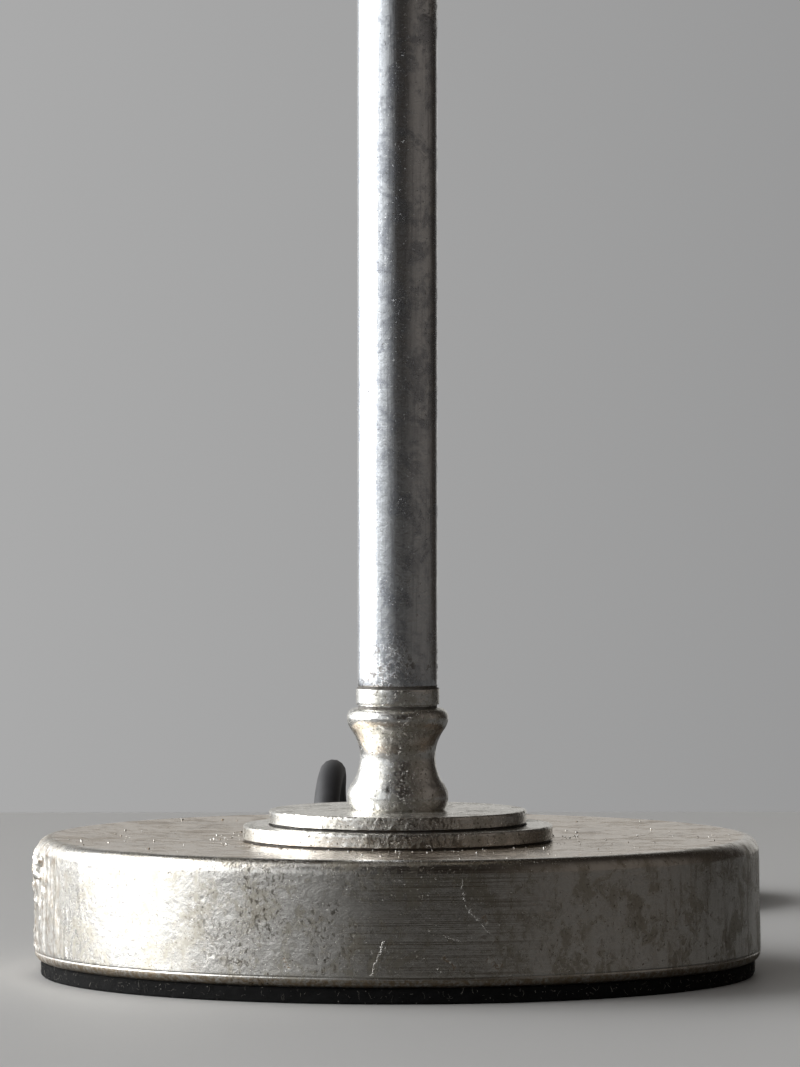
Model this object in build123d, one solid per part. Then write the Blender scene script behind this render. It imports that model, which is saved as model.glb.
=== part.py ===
from build123d import *
import math
import os

# Candlestick table lamp: a weighted drum base, two stepped discs, a turned neck, a slim round
# pole, the same neck turned over at the top, a drip cup, a lampholder with its bulb, and a
# tapered shade that rests on the lampholder. Millimetres. +Z is up, the origin is the centre
# of the underside of the base pad, and -Y is the front. Every height is stacked from the table
# up, so a change of one thickness carries everything above it.

# ---------------------------------------------------------------- driving dimensions
# fits and clearances
seat_gap = 0.15          # axial gap under a piece that can be turned on its seat
running_gap = 0.06       # radial gap of a shaft or thread that turns
thread_gap = 0.08        # radial gap of a fixed nut on its thread
loose_gap = 0.35         # radial gap of a fixed piece threaded over the tube

# base
base_r = 90.4            # widest, just above the rolled bottom edge
pad_t = 3.9
pad_inset = 1.6          # the pad stands this far inside the base
base_h = 29.3            # from the pad to the seat of the discs
base_wall = 1.2
base_draft = 1.2         # degrees, the side leans in towards the top
base_edge_r = 3.4        # round of the top edge
base_roll_r = 2.2        # round of the rolled bottom edge
weight_edge = 2.2
base_dish = 1.3          # the rim of the top stands this much above the seat
hem_t = 3.0              # the bottom edge is folded over to this thickness
hem_h = 1.9
weight_gap = 0.8
weight_web = 5.0         # iron under the clamped top
weight_hub_r = 36.0
weight_pocket_r = 28.0
weight_rim_w = 11.0
weight_recess = 8.0
weight_seat_gap = 0.8    # the seat of the cover runs this much past the lower disc

# clamp: a hollow threaded tube runs from the weight to the lampholder
tube_r = 5.0
tube_bore_r = 4.0
washer_r = 10.5
washer_t = 1.6
nut_flats = 17.0
nut_t = 5.0
tube_end = 1.2           # tube showing below the nut

# discs and neck
lower_disc_r = 38.6
lower_disc_t = 4.0
upper_disc_r = 32.1
upper_disc_t = 3.7
disc_edge = 0.4
neck_waist_r = 9.4
neck_bead_r = 12.65
neck_hollow_r = 11.7     # radius of the hollow between the beads
neck_foot = 3.1          # up to the widest line of the lower bead
neck_span = 20.0         # between the widest lines of the beads
neck_lip = 2.2           # above the widest line of the upper bead

# ferrules and pole
ferrule_r = 10.35
ferrule_band = 4.1
groove_low = 0.9         # shadow groove on the neck side
groove_high = 0.6        # shadow groove on the pole side
groove_depth = 0.55
spigot_h = 7.0
pole_r = 10.0
pole_wall = 1.2
pole_h = 300.0

# drip cup and candle sleeve
cup_foot_r = 11.5
cup_foot_h = 3.0
cup_r = 31.0
cup_rise = 6.5
cup_wall = 1.6
sleeve_r = 12.5
sleeve_wall = 1.2
sleeve_h = 42.0

# lampholder
cap_hub_r = 14.2
cap_h = 18.0
cap_band_h = 5.5         # straight band at the top of the bell
holder_r = 19.6
holder_wall = 1.3
holder_h = 42.0
flange_r = 25.0
flange_t = 2.0
flange_drop = 24.0       # from the mouth of the holder down to the top of the flange
insulator_floor = 5.0
socket_r = 13.45         # inside of the screw shell
socket_wall = 0.45
socket_h = 22.0
socket_lip = 2.5         # turned-in foot of the screw shell
top_nut_r = 8.0
top_nut_t = 3.0
contact_w = 5.0
contact_t = 0.5
contact_rise = 5.0
terminal_r = 2.2
terminal_len = 4.4
terminal_offset = 11.0
terminal_slot_w = 0.7
terminal_slot_depth = 0.6
core_r = 1.1
core_offset = 1.45

# switch
spindle_r = 2.5
spindle_out = 15.0
spindle_seat = 2.4       # depth in the ceramic
spindle_rise = 4.6       # axis above the foot of the lampholder
knob_gap = 2.0           # between the barrel and the knob
knob_r = 6.5
knob_len = 16.0
knob_edge = 1.2
knob_flutes = 10
flute_r = 0.9
flute_out = 0.3          # centre of a flute beyond the knob's radius

# bulb
bulb_cap_r = 13.1
bulb_cap_h = 24.0
bulb_cap_wall = 0.5
bulb_cap_floor = 1.5
bulb_cap_taper = 2.0     # the cap narrows over its last stretch
bulb_glass_depth = 18.0  # glass inside the cap
bulb_r = 30.0
bulb_flare_r = 60.0      # radius of the hollow between the neck and the globe
bulb_h = 84.0            # glass above the mouth of the lampholder
bulb_wall = 1.0
bulb_tip_r = 3.5
bulb_tip_h = 2.5
bulb_tip_flare = 2.0

# shade and its ring
shade_h = 190.0
shade_bottom_r = 140.0
shade_top_r = 98.0
shade_t = 0.9
shade_hang = 44.0        # from the seat on the lampholder down to the bottom edge
wire_r = 1.6
wire_sides = 8
carrier_in_r = 21.0
carrier_r = 28.0
carrier_t = 1.5
arm_count = 3
arm_bend = 14.0
arm_level = 25.0         # level stretch at each end of an arm
arm_lap = 1.5            # arm brazed over the edge of the plate
tape_w = 9.0
tape_t = 0.5
tape_gap = 0.15
ring_gap = 0.3
clamp_r = 25.5
clamp_t = 3.0
clamp_edge = 0.6
clamp_collar_r = 22.5
clamp_collar_h = 7.0
grip_count = 12
grip_r = 1.2
grip_out = 0.5           # centre of a grip notch beyond the ring's radius

# lead, its outlet, coil and plug
lead_r = 3.4
lead_sides = 8
outlet_turn = 98.0       # degrees from +X to the lead outlet, at the back
outlet_flange_r = 6.2
outlet_flange_t = 2.2
outlet_barrel_r = 4.6
outlet_barrel_len = 8.0
outlet_nose_len = 22.0
outlet_nose_r = 5.4
outlet_tip_wall = 0.7    # moulding around the lead at the tip of the nose
outlet_rib_step = 3.2    # from groove to groove along the nose
outlet_rib_w = 1.1
outlet_ribs = 4
outlet_nut_r = 6.4
outlet_nut_t = 3.0
channel_gap = 1.3        # around the outlet nut in the channel of the weight
coil_pitch = 7.35        # turn to turn
coil_climb = 7.35        # layer to layer
coil_inner_r = 30.2
coil_half_turns = 6      # in each layer
straight_end = 2 * lead_r
plug_body_len = 34.0
plug_body_w = 35.0
plug_body_t = 13.6
plug_neck_w = 11.0       # where the relief runs into the body
plug_waist_w = 22.0
plug_waist_at = 6.3      # from the neck to the waist
plug_grip_at = 18.0      # from the neck to the full width
plug_round = 2.5
plug_edge = 0.8
plug_relief_len = 16.0
plug_relief_r = 4.6
pin_r = 2.0
pin_len = 19.0
pin_spacing = 18.6
pin_round = 1.2
lead_level = 17.4        # straight out of the outlet
tail_level = 15.0        # straight out of the coil
tail_run = 15.0
tail_headings = (230.0, 250.0)   # degrees from +Y towards +X, on the way down to the table
plug_heading = 270.0

# ---------------------------------------------------------------- heights, from the table up
pad_top = pad_t
seat_z = pad_top + base_h                      # flat seat of the discs on the cover
rim_z = seat_z + base_dish
cover_under = seat_z - base_wall
lower_disc_top = seat_z + lower_disc_t
upper_disc_top = lower_disc_top + upper_disc_t
neck_h = neck_foot + neck_span + neck_lip
neck_top = upper_disc_top + neck_h
ferrule_h = groove_low + ferrule_band + groove_high
pole_foot = neck_top + ferrule_h
pole_top = pole_foot + pole_h
top_neck_foot = pole_top + ferrule_h
cup_z = top_neck_foot + neck_h
sleeve_foot = cup_z + cup_foot_h
sleeve_top = sleeve_foot + sleeve_h
holder_foot = sleeve_top + cap_h
holder_top = holder_foot + holder_h
shade_seat = holder_top - flange_drop
weight_ceiling = cover_under - weight_web
tube_low = weight_ceiling - washer_t - nut_t - tube_end
tube_high = sleeve_top + holder_wall + top_nut_t + tube_end
socket_foot = holder_foot + insulator_floor
outlet_z = pad_top + max(base_roll_r + outlet_flange_r, hem_h + outlet_nut_r) + seat_gap
switch_z = holder_foot + spindle_rise
side_lean = math.tan(math.radians(base_draft))
cap_low = socket_foot + contact_rise + bulb_tip_h + seat_gap
cap_high = cap_low + bulb_cap_h
carrier_low = shade_seat + seat_gap
shade_low = shade_seat - shade_hang
shade_high = shade_low + shade_h

# ---------------------------------------------------------------- sizes that follow from fits
pole_bore_r = pole_r - pole_wall
bore_r = tube_r + loose_gap
holder_in_r = holder_r - holder_wall
insulator_r = holder_in_r - loose_gap
insulator_in_r = socket_r + socket_wall + loose_gap
spindle_in = insulator_r - spindle_seat
pad_r = base_r - pad_inset
slant = math.atan2(shade_bottom_r - shade_top_r, shade_h)
slant_len = math.hypot(shade_bottom_r - shade_top_r, shade_h)

outward = (Align.CENTER, Align.CENTER, Align.MIN)
inward = (Align.CENTER, Align.CENTER, Align.MAX)
parts = {}


# ---------------------------------------------------------------- helpers
def section(*points):
    """A closed outline of straight edges, given as (radius, height)."""
    return make_face(Polyline(*points, close=True))


def rounded(face, radius, *corners):
    """Rounds the named (radius, height) corners of an outline."""
    for corner in corners:
        spot = Vector(*corner)
        nearest = face.vertices().sort_by(lambda v: (Vector(v.X, v.Y) - spot).length)[0]
        face = fillet(nearest, radius)
    return face


def broken(face, size, *corners):
    """Breaks the named (radius, height) corners of an outline with a small chamfer."""
    for corner in corners:
        spot = Vector(*corner)
        nearest = face.vertices().sort_by(lambda v: (Vector(v.X, v.Y) - spot).length)[0]
        face = chamfer(nearest, size)
    return face


def turned(face):
    """The solid that an outline of (radius, height) makes when it is turned about +Z."""
    return revolve(Plane.XZ * face, Axis.Z)


def ring(outer, inner, low, high):
    """A plain ring about +Z."""
    return turned(section((inner, low), (outer, low), (outer, high), (inner, high)))


def side_radius(z):
    """Outer radius of the drafted side of the base at a height."""
    return base_r - (z - pad_top - base_roll_r) * side_lean


def at_outlet(shape):
    """Turns a piece built along +X into the direction of the lead outlet."""
    return Rot(0, 0, outlet_turn) * shape


def bar(path, radius, sides):
    """A bar of many sides along a path, standing on one of its corners."""
    section_face = RegularPolygon(radius, sides)
    return sweep(Plane(origin=path @ 0, z_dir=path % 0) * section_face, path=path)


# ---------------------------------------------------------------- base
def base_pad():
    return Pos(0, 0, pad_top / 2) * Cylinder(pad_r, pad_top)


def base_cover():
    """Spun cover: dished top, rounded edge, leaning side and a folded, rolled bottom edge."""
    top_r = side_radius(rim_z)
    seat_r = lower_disc_r + weight_seat_gap
    inner_top_r = top_r - base_wall
    hem_r = base_r - hem_t
    face = section(
        (bore_r, seat_z),
        (seat_r, seat_z),
        (top_r, rim_z),
        (base_r, pad_top + base_roll_r),
        (base_r, pad_top),
        (hem_r, pad_top),
        (hem_r, pad_top + hem_h),
        (side_radius(pad_top + hem_h) - base_wall, pad_top + hem_h),
        (inner_top_r, rim_z - base_wall),
        (seat_r, cover_under),
        (bore_r, cover_under),
    )
    face = rounded(face, base_edge_r, (top_r, rim_z))
    face = rounded(face, base_edge_r - base_wall, (inner_top_r, rim_z - base_wall))
    face = rounded(face, base_roll_r, (base_r, pad_top))
    hole = Cylinder(outlet_barrel_r + loose_gap, 2 * hem_t)
    return turned(face) - at_outlet(Pos(base_r, 0, outlet_z) * Rot(0, 90, 0) * hole)


def base_weight():
    """Cast ring: hub, web and rim, a pocket for the nut and a channel for the lead."""
    outer_r = base_r - hem_t - weight_gap
    recess_floor = cover_under - weight_recess
    rim_in = outer_r - weight_rim_w
    face = section(
        (bore_r, weight_ceiling),
        (bore_r, cover_under),
        (weight_hub_r, cover_under),
        (weight_hub_r, recess_floor),
        (rim_in, recess_floor),
        (rim_in, cover_under),
        (outer_r, cover_under),
        (outer_r, pad_top),
        (weight_pocket_r, pad_top),
        (weight_pocket_r, weight_ceiling),
    )
    face = broken(face, weight_edge, (outer_r, cover_under))
    half = outlet_nut_r + channel_gap
    high = outlet_z - pad_top + half
    channel = Box(base_r, 2 * half, high, align=(Align.MIN, Align.CENTER, Align.MIN))
    return turned(face) - at_outlet(Pos(0, 0, pad_top) * channel)


def threaded_tube():
    return ring(tube_r, tube_bore_r, tube_low, tube_high)


def clamp_washer():
    return ring(washer_r, bore_r, weight_ceiling - washer_t, weight_ceiling)


def clamp_nut():
    body = extrude(RegularPolygon(nut_flats / 2, 6, major_radius=False), nut_t)
    bore = Cylinder(tube_r + thread_gap, 3 * nut_t)
    return Pos(0, 0, tube_low + tube_end) * (body - bore)


# ---------------------------------------------------------------- discs, neck, pole
def disc(radius, low, thick):
    high = low + thick
    face = section((bore_r, low), (radius, low), (radius, high), (bore_r, high))
    return turned(broken(face, disc_edge, (radius, low), (radius, high)))


def neck(foot, upside_down=False):
    """Two beads that run into a hollow waist, all arcs tangent to each other."""
    middle = neck_foot + neck_span / 2
    reach = neck_waist_r + neck_hollow_r - neck_bead_r
    bead = (reach**2 + (neck_span / 2) ** 2 - neck_hollow_r**2) / (2 * (neck_hollow_r - reach))
    centre = neck_bead_r - bead
    lean = math.atan2(neck_span / 2, neck_waist_r + neck_hollow_r - centre)
    touch_r = centre + bead * math.cos(lean)
    touch_z = bead * math.sin(lean)
    foot_r = centre + math.sqrt(bead**2 - neck_foot**2)
    lip_r = centre + math.sqrt(bead**2 - neck_lip**2)
    upper = neck_foot + neck_span
    edges = [
        Line((bore_r, 0), (foot_r, 0)),
        ThreePointArc((foot_r, 0), (neck_bead_r, neck_foot), (touch_r, neck_foot + touch_z)),
        ThreePointArc(
            (touch_r, neck_foot + touch_z), (neck_waist_r, middle), (touch_r, upper - touch_z)
        ),
        ThreePointArc((touch_r, upper - touch_z), (neck_bead_r, upper), (lip_r, neck_h)),
        Line((lip_r, neck_h), (bore_r, neck_h)),
        Line((bore_r, neck_h), (bore_r, 0)),
    ]
    solid = turned(make_face(edges))
    if upside_down:
        return Pos(0, 0, foot + neck_h) * Rot(180, 0, 0) * solid
    return Pos(0, 0, foot) * solid


def ferrule(foot, upside_down=False):
    """Band between neck and pole, with a shadow groove each side and a spigot in the pole."""
    low_r = ferrule_r - groove_depth
    band_low = groove_low
    band_high = groove_low + ferrule_band
    spigot_r = pole_bore_r - loose_gap
    face = section(
        (bore_r, 0),
        (low_r, 0),
        (low_r, band_low),
        (ferrule_r, band_low),
        (ferrule_r, band_high),
        (low_r, band_high),
        (low_r, ferrule_h),
        (spigot_r, ferrule_h),
        (spigot_r, ferrule_h + spigot_h),
        (bore_r, ferrule_h + spigot_h),
    )
    face = broken(face, groove_depth / 2, (ferrule_r, band_low), (ferrule_r, band_high))
    solid = turned(face)
    if upside_down:
        return Pos(0, 0, foot + ferrule_h) * Rot(180, 0, 0) * solid
    return Pos(0, 0, foot) * solid


def pole():
    return ring(pole_r, pole_bore_r, pole_foot, pole_top)


# ---------------------------------------------------------------- drip cup and sleeve
def drip_cup():
    """Turned cup on a short foot: thin dish with a rolled lip."""
    floor = cup_z + cup_foot_h
    face = section(
        (bore_r, cup_z),
        (cup_foot_r, cup_z),
        (cup_foot_r, floor - cup_wall),
        (cup_r - cup_rise, floor - cup_wall),
        (cup_r, floor + cup_rise - cup_wall),
        (cup_r, floor + cup_rise),
        (cup_r - cup_wall, floor + cup_rise),
        (cup_r - cup_rise - cup_wall / 2, floor),
        (bore_r, floor),
    )
    face = broken(face, cup_wall / 3, (cup_r, floor + cup_rise))
    face = rounded(face, cup_rise, (cup_r - cup_rise, floor - cup_wall))
    face = rounded(face, cup_rise, (cup_r - cup_rise - cup_wall / 2, floor))
    return turned(face)


def candle_sleeve():
    return ring(sleeve_r, sleeve_r - sleeve_wall, sleeve_foot, sleeve_top)


# ---------------------------------------------------------------- lampholder
def lampholder_cap():
    """Bell that carries the lampholder on the end of the tube."""
    low = sleeve_top
    band = holder_foot - cap_band_h
    floor = low + holder_wall
    down = (0, -1)
    edges = [
        Line((bore_r, low), (cap_hub_r, low)),
        TangentArc((holder_r, band), (cap_hub_r, low), tangent=down),
        Line((holder_r, band), (holder_r, holder_foot)),
        Line((holder_r, holder_foot), (holder_in_r, holder_foot)),
        Line((holder_in_r, holder_foot), (holder_in_r, band)),
        TangentArc((holder_in_r, band), (cap_hub_r - holder_wall, floor), tangent=down),
        Line((cap_hub_r - holder_wall, floor), (bore_r, floor)),
        Line((bore_r, floor), (bore_r, low)),
    ]
    return turned(make_face(edges))


def top_nut():
    low = sleeve_top + holder_wall
    return ring(top_nut_r, tube_r + thread_gap, low, low + top_nut_t)


def lampholder_body():
    """Threaded barrel with the flange that the shade rests on and a hole for the switch."""
    flange_low = shade_seat - flange_t
    face = section(
        (holder_in_r, holder_foot),
        (holder_r, holder_foot),
        (holder_r, flange_low),
        (flange_r, flange_low),
        (flange_r, shade_seat),
        (holder_r, shade_seat),
        (holder_r, holder_top),
        (holder_in_r, holder_top),
    )
    face = broken(face, flange_t / 4, (flange_r, flange_low), (flange_r, shade_seat))
    hole = Cylinder(spindle_r + running_gap, 2 * holder_r, align=outward)
    return turned(face) - switch_axis() * hole


def insulator():
    """Ceramic cup between the barrel and the screw shell, bored for the switch spindle."""
    face = section(
        (0, holder_foot),
        (insulator_r, holder_foot),
        (insulator_r, socket_foot + socket_h),
        (insulator_in_r, socket_foot + socket_h),
        (insulator_in_r, socket_foot),
        (0, socket_foot),
    )
    bore = Cylinder(spindle_r + running_gap, 2 * insulator_r, align=outward)
    return turned(face) - switch_axis() * Pos(0, 0, spindle_in - seat_gap) * bore


def screw_shell():
    """Brass sleeve that the bulb screws into, with a turned-in foot."""
    outer = socket_r + socket_wall
    return turned(
        section(
            (socket_r - socket_lip, socket_foot),
            (outer, socket_foot),
            (outer, socket_foot + socket_h),
            (socket_r, socket_foot + socket_h),
            (socket_r, socket_foot + socket_wall),
            (socket_r - socket_lip, socket_foot + socket_wall),
        )
    )


def centre_contact():
    """Sprung tongue: a foot on the ceramic, a rise and a flat end under the bulb."""
    half = contact_w / 2
    rise = contact_rise
    profile = Polyline(
        (-half, 0),
        (half, 0),
        (half, contact_t),
        (contact_t - half, contact_t),
        (contact_t - half, rise - contact_t),
        (half, rise - contact_t),
        (half, rise),
        (-half, rise),
        close=True,
    )
    tongue = extrude(Plane.XZ * make_face(profile), contact_w / 2, both=True)
    return Pos(0, 0, socket_foot) * tongue


def terminals():
    """Two screws under the ceramic that clamp the cores of the lead."""
    screw = Cylinder(terminal_r, terminal_len, align=inward)
    slot = Box(3 * terminal_r, terminal_slot_w, 2 * terminal_slot_depth)
    one = screw - Pos(0, 0, -terminal_len) * slot
    return [Pos(x, 0, holder_foot) * one for x in (-terminal_offset, terminal_offset)]


# ---------------------------------------------------------------- switch
def switch_axis():
    return Pos(0, 0, switch_z) * Rot(0, 90, 0)


def switch_spindle():
    """Turns in the barrel and the ceramic and carries the knob."""
    bar = Cylinder(spindle_r, holder_r + spindle_out - spindle_in, align=outward)
    return switch_axis() * Pos(0, 0, spindle_in) * bar


def switch_knob():
    """Fluted knob with a rounded end."""
    body = Cylinder(knob_r, knob_len, align=outward)
    body = chamfer(body.edges().group_by(Axis.Z)[-1], knob_edge)
    flute = Cylinder(flute_r, 3 * knob_len)
    for spot in PolarLocations(knob_r + flute_out, knob_flutes):
        body -= spot * flute
    body -= Cylinder(spindle_r + thread_gap, spindle_out - knob_gap + seat_gap, align=outward)
    return switch_axis() * Pos(0, 0, holder_r + knob_gap) * body


# ---------------------------------------------------------------- bulb
def bulb_cap():
    """Screw cap of the bulb, open where the glass enters it."""
    hole_r = bulb_tip_r + bulb_tip_flare
    inner_r = bulb_cap_r - bulb_cap_wall
    face = section(
        (hole_r, cap_low),
        (bulb_cap_r - bulb_cap_taper, cap_low),
        (bulb_cap_r, cap_low + bulb_cap_taper),
        (bulb_cap_r, cap_high),
        (inner_r, cap_high),
        (inner_r, cap_low + bulb_cap_taper + bulb_cap_wall),
        (inner_r - bulb_cap_taper, cap_low + bulb_cap_floor),
        (hole_r, cap_low + bulb_cap_floor),
    )
    return turned(face)


def bulb_contact():
    """Insulating button and the contact under it."""
    low = cap_low - bulb_tip_h
    hole_r = bulb_tip_r + bulb_tip_flare
    face = section(
        (0, low),
        (bulb_tip_r, low),
        (hole_r, cap_low),
        (hole_r, cap_low + bulb_cap_floor),
        (0, cap_low + bulb_cap_floor),
    )
    return turned(face)


def bulb_glass():
    """Opal envelope: neck in the cap, hollow flare and round globe, tangent to each other."""
    neck_r = bulb_cap_r - bulb_cap_wall - ring_gap
    crown = holder_top + bulb_h
    globe_z = crown - bulb_r
    flare_x = neck_r + bulb_flare_r
    lean = math.asin(flare_x / (bulb_r + bulb_flare_r))
    flare_z = globe_z - (bulb_r + bulb_flare_r) * math.cos(lean)
    foot_z = cap_high - bulb_glass_depth

    def wall(inset):
        """One side of the glass from the foot to the crown, set in by a thickness."""
        globe = bulb_r - inset
        flare = bulb_flare_r + inset
        join = (globe * math.sin(lean), globe_z - globe * math.cos(lean))
        side = flare_x - flare
        half = (math.pi / 2 - lean) / 2
        middle = (flare_x - flare * math.cos(half), flare_z + flare * math.sin(half))
        return [
            Line((side, foot_z), (side, flare_z)),
            ThreePointArc((side, flare_z), middle, join),
            ThreePointArc(join, (globe, globe_z), (0, globe_z + globe)),
        ]

    inner_r = neck_r - bulb_wall
    ends = [
        Line((0, crown - bulb_wall), (0, crown)),
        Line((inner_r, foot_z), (neck_r, foot_z)),
    ]
    return turned(make_face(wall(0) + wall(bulb_wall) + ends))


# ---------------------------------------------------------------- shade
def on_slant(along, out):
    """A point beside the shade's outer line: along it from the bottom edge, and outwards."""
    return (
        shade_bottom_r - along * math.sin(slant) + out * math.cos(slant),
        shade_low + along * math.cos(slant) + out * math.sin(slant),
    )


def shade_cover():
    """Tapered laminated cover, open at both ends."""
    return turned(
        section(
            on_slant(0, -shade_t), on_slant(0, 0), on_slant(slant_len, 0), on_slant(slant_len, -shade_t)
        )
    )


def wire_ring(along):
    """Wire ring just inside the cover, at a distance along its slant."""
    r, z = on_slant(along, -shade_t - ring_gap - wire_r)
    return turned(Pos(r, z) * RegularPolygon(wire_r, wire_sides)), r, z


def top_ring():
    return wire_ring(slant_len - wire_r)[0]


def bottom_ring():
    return wire_ring(wire_r)[0]


def shade_plate():
    """Flat ring that sits on the flange of the lampholder."""
    return ring(carrier_r, carrier_in_r, carrier_low, carrier_low + carrier_t)


def shade_arms():
    """Bent arms brazed to the edge of the plate and to the bottom ring."""
    hoop, hoop_r, hoop_z = wire_ring(wire_r)
    arm_z = carrier_low + carrier_t / 2
    path = FilletPolyline(
        (carrier_r - arm_lap, 0, arm_z),
        (carrier_r + arm_level, 0, arm_z),
        (hoop_r - arm_level, 0, hoop_z),
        (hoop_r, 0, hoop_z),
        radius=arm_bend,
    )
    hub = Pos(0, 0, arm_z) * Cylinder(carrier_r, 4 * wire_r)
    arms = []
    for index in range(arm_count):
        turn = Rot(0, 0, 90 + 360 * index / arm_count)
        arms.append(turn * bar(path, wire_r, wire_sides) - hub - hoop)
    return arms


def tape(edge, inwards):
    """Narrow tape folded over one edge of the cover and the ring beside it."""
    out = tape_gap
    far = tape_gap + tape_t
    foot = -shade_t - ring_gap - 2 * wire_r
    return turned(
        section(
            on_slant(edge + inwards * tape_w, out),
            on_slant(edge + inwards * tape_w, far),
            on_slant(edge - inwards * far, far),
            on_slant(edge - inwards * far, foot),
            on_slant(edge - inwards * out, foot),
            on_slant(edge - inwards * out, out),
        )
    )


def shade_clamp():
    """Threaded ring that holds the shade's plate down on the flange."""
    low = carrier_low + carrier_t + seat_gap
    inner = holder_r + running_gap
    face = section(
        (inner, low),
        (clamp_r, low),
        (clamp_r, low + clamp_t),
        (clamp_collar_r, low + clamp_t),
        (clamp_collar_r, low + clamp_collar_h),
        (inner, low + clamp_collar_h),
    )
    face = broken(face, clamp_edge, (clamp_r, low + clamp_t))
    solid = turned(face)
    grip = Pos(0, 0, low) * Cylinder(grip_r, 3 * clamp_t)
    for spot in PolarLocations(clamp_r + grip_out, grip_count):
        solid -= spot * grip
    return solid


# ---------------------------------------------------------------- lead inside the lamp
def lead_outlet():
    """Moulded strain relief: barrel through the cover, flange and a tapered nose."""
    seat = side_radius(outlet_z - outlet_flange_r)
    face = section(
        (0, -outlet_barrel_len),
        (outlet_barrel_r, -outlet_barrel_len),
        (outlet_barrel_r, 0),
        (outlet_flange_r, 0),
        (outlet_flange_r, outlet_flange_t),
        (outlet_nose_r, outlet_flange_t),
        (lead_r + outlet_tip_wall, outlet_nose_len),
        (0, outlet_nose_len),
    )
    groove = ring(2 * outlet_nose_r, lead_r + outlet_tip_wall, 0, outlet_rib_w)
    solid = turned(face)
    for step in range(outlet_ribs):
        solid -= Pos(0, 0, outlet_flange_t + outlet_rib_step * (step + 0.5)) * groove
    return at_outlet(Pos(seat, 0, outlet_z) * Rot(0, 90, 0) * solid)


def outlet_nut():
    """Round nut on the barrel, inside the cover."""
    wall_in = side_radius(outlet_z + outlet_nut_r) - base_wall
    face_r = math.sqrt(wall_in**2 - outlet_nut_r**2)
    nut = Cylinder(outlet_nut_r, outlet_nut_t, align=inward)
    nut -= Cylinder(outlet_barrel_r + thread_gap, 3 * outlet_nut_t)
    return at_outlet(Pos(face_r, 0, outlet_z) * Rot(0, 90, 0) * nut)


def inner_lead():
    """From the outlet to the middle of the base, then up inside the tube."""
    start = side_radius(outlet_z - outlet_flange_r) - outlet_barrel_len
    bend = tube_low + tube_end - outlet_z
    path = FilletPolyline((start, 0, outlet_z), (0, 0, outlet_z), (0, 0, tube_high), radius=bend)
    return at_outlet(bar(path, lead_r, lead_sides))


def lead_cores():
    """Two cores, fanned out from the end of the lead to the terminals."""
    cores = []
    high = holder_foot - terminal_len
    for side in (-1, 1):
        foot = Plane(origin=(side * core_offset, 0, tube_high)) * Circle(core_r)
        head = Plane(origin=(side * terminal_offset, 0, high)) * Circle(core_r)
        cores.append(loft([foot, head]))
    return cores


# ---------------------------------------------------------------- lead outside the lamp
def heading(degrees):
    """Level direction, measured from +Y towards +X."""
    turn = math.radians(degrees)
    return Vector(math.sin(turn), math.cos(turn), 0)


def lead_path(points):
    """Straight runs joined by arcs as large as the runs allow; returns path and radii."""
    spots = [Vector(*p) for p in points]
    radii = []
    for before, corner, after in zip(spots, spots[1:], spots[2:]):
        run_in = corner - before
        run_out = after - corner
        half = math.radians(run_in.get_angle(run_out)) / 2
        radii.append(0.45 * min(run_in.length, run_out.length) / math.tan(half))
    return FilletPolyline(*spots, radius=radii), radii


# the way out of the base: over the hump behind it, down to the table and into the coil
outlet_axis = Vector(math.cos(math.radians(outlet_turn)), math.sin(math.radians(outlet_turn)), 0)
outlet_tip = outlet_axis * (side_radius(outlet_z - outlet_flange_r) + outlet_nose_len)
outlet_tip += Vector(0, 0, outlet_z)
lead_route = [
    outlet_tip,
    outlet_tip + outlet_axis * lead_level,
    (-19.4, 144.4, 19.4),
    (-19.4, 155.8, 32.0),
    (-18.2, 171.3, 39.3),
    (-17.3, 188.8, 39.3),
    (-17.9, 206.2, 31.0),
    (-15.7, 219.4, 15.2),
    (-7.6, 236.6, 3.4),
    (3.6, 256.0, 3.4),
]


def free_lead():
    path, radii = lead_path(lead_route)
    print("lead: length %.1f, arc radii" % path.length, [round(r, 1) for r in radii])
    return bar(path, lead_r, lead_sides), path


def coil_curve():
    """Half turns that spiral in on the table, climb a layer, and spiral out again."""
    spot = Vector(*lead_route[-1])
    along = (spot - Vector(*lead_route[-2])).normalized()
    across = along.rotate(Axis.Z, -90)
    up = Vector(0, 0, 1)
    edges = [Line(spot, spot + along * straight_end)]
    spot = spot + along * straight_end
    radius = coil_inner_r + (coil_half_turns - 1) * coil_pitch / 2
    for index in range(coil_half_turns):
        edges.append(half_turn(spot, along, across, radius))
        spot = spot + across * 2 * radius
        along, across = along * -1, across * -1
        radius -= coil_pitch / 2
    across_end = spot + across * 2 * radius + up * coil_climb
    rise = (across_end - spot).length / 2
    middle = (spot + across_end) * 0.5 + along * rise
    first = TangentArc(spot, middle, tangent=along)
    edges.append(first)
    edges.append(TangentArc(middle, across_end, tangent=first % 1))
    spot = across_end
    along, across = along * -1, across * -1
    for index in range(coil_half_turns):
        radius += coil_pitch / 2
        edges.append(half_turn(spot, along, across, radius))
        spot = spot + across * 2 * radius
        along, across = along * -1, across * -1
    edges.append(Line(spot, spot + along * straight_end))
    return Wire(edges), spot + along * straight_end, along


def half_turn(start, along, across, radius):
    centre = start + across * radius
    return ThreePointArc(start, centre + along * radius, start + across * 2 * radius)


def coil_gap(path):
    """Least distance between turns, measured on points of the centre line."""
    count = 1400
    points = [path @ (i / count) for i in range(count + 1)]
    skip = math.ceil(4 * lead_r * count / path.length)
    least = min(
        (points[i] - points[j]).length
        for i in range(0, count + 1, 4)
        for j in range(i + skip, count + 1)
    )
    return least - 2 * lead_r


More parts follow.
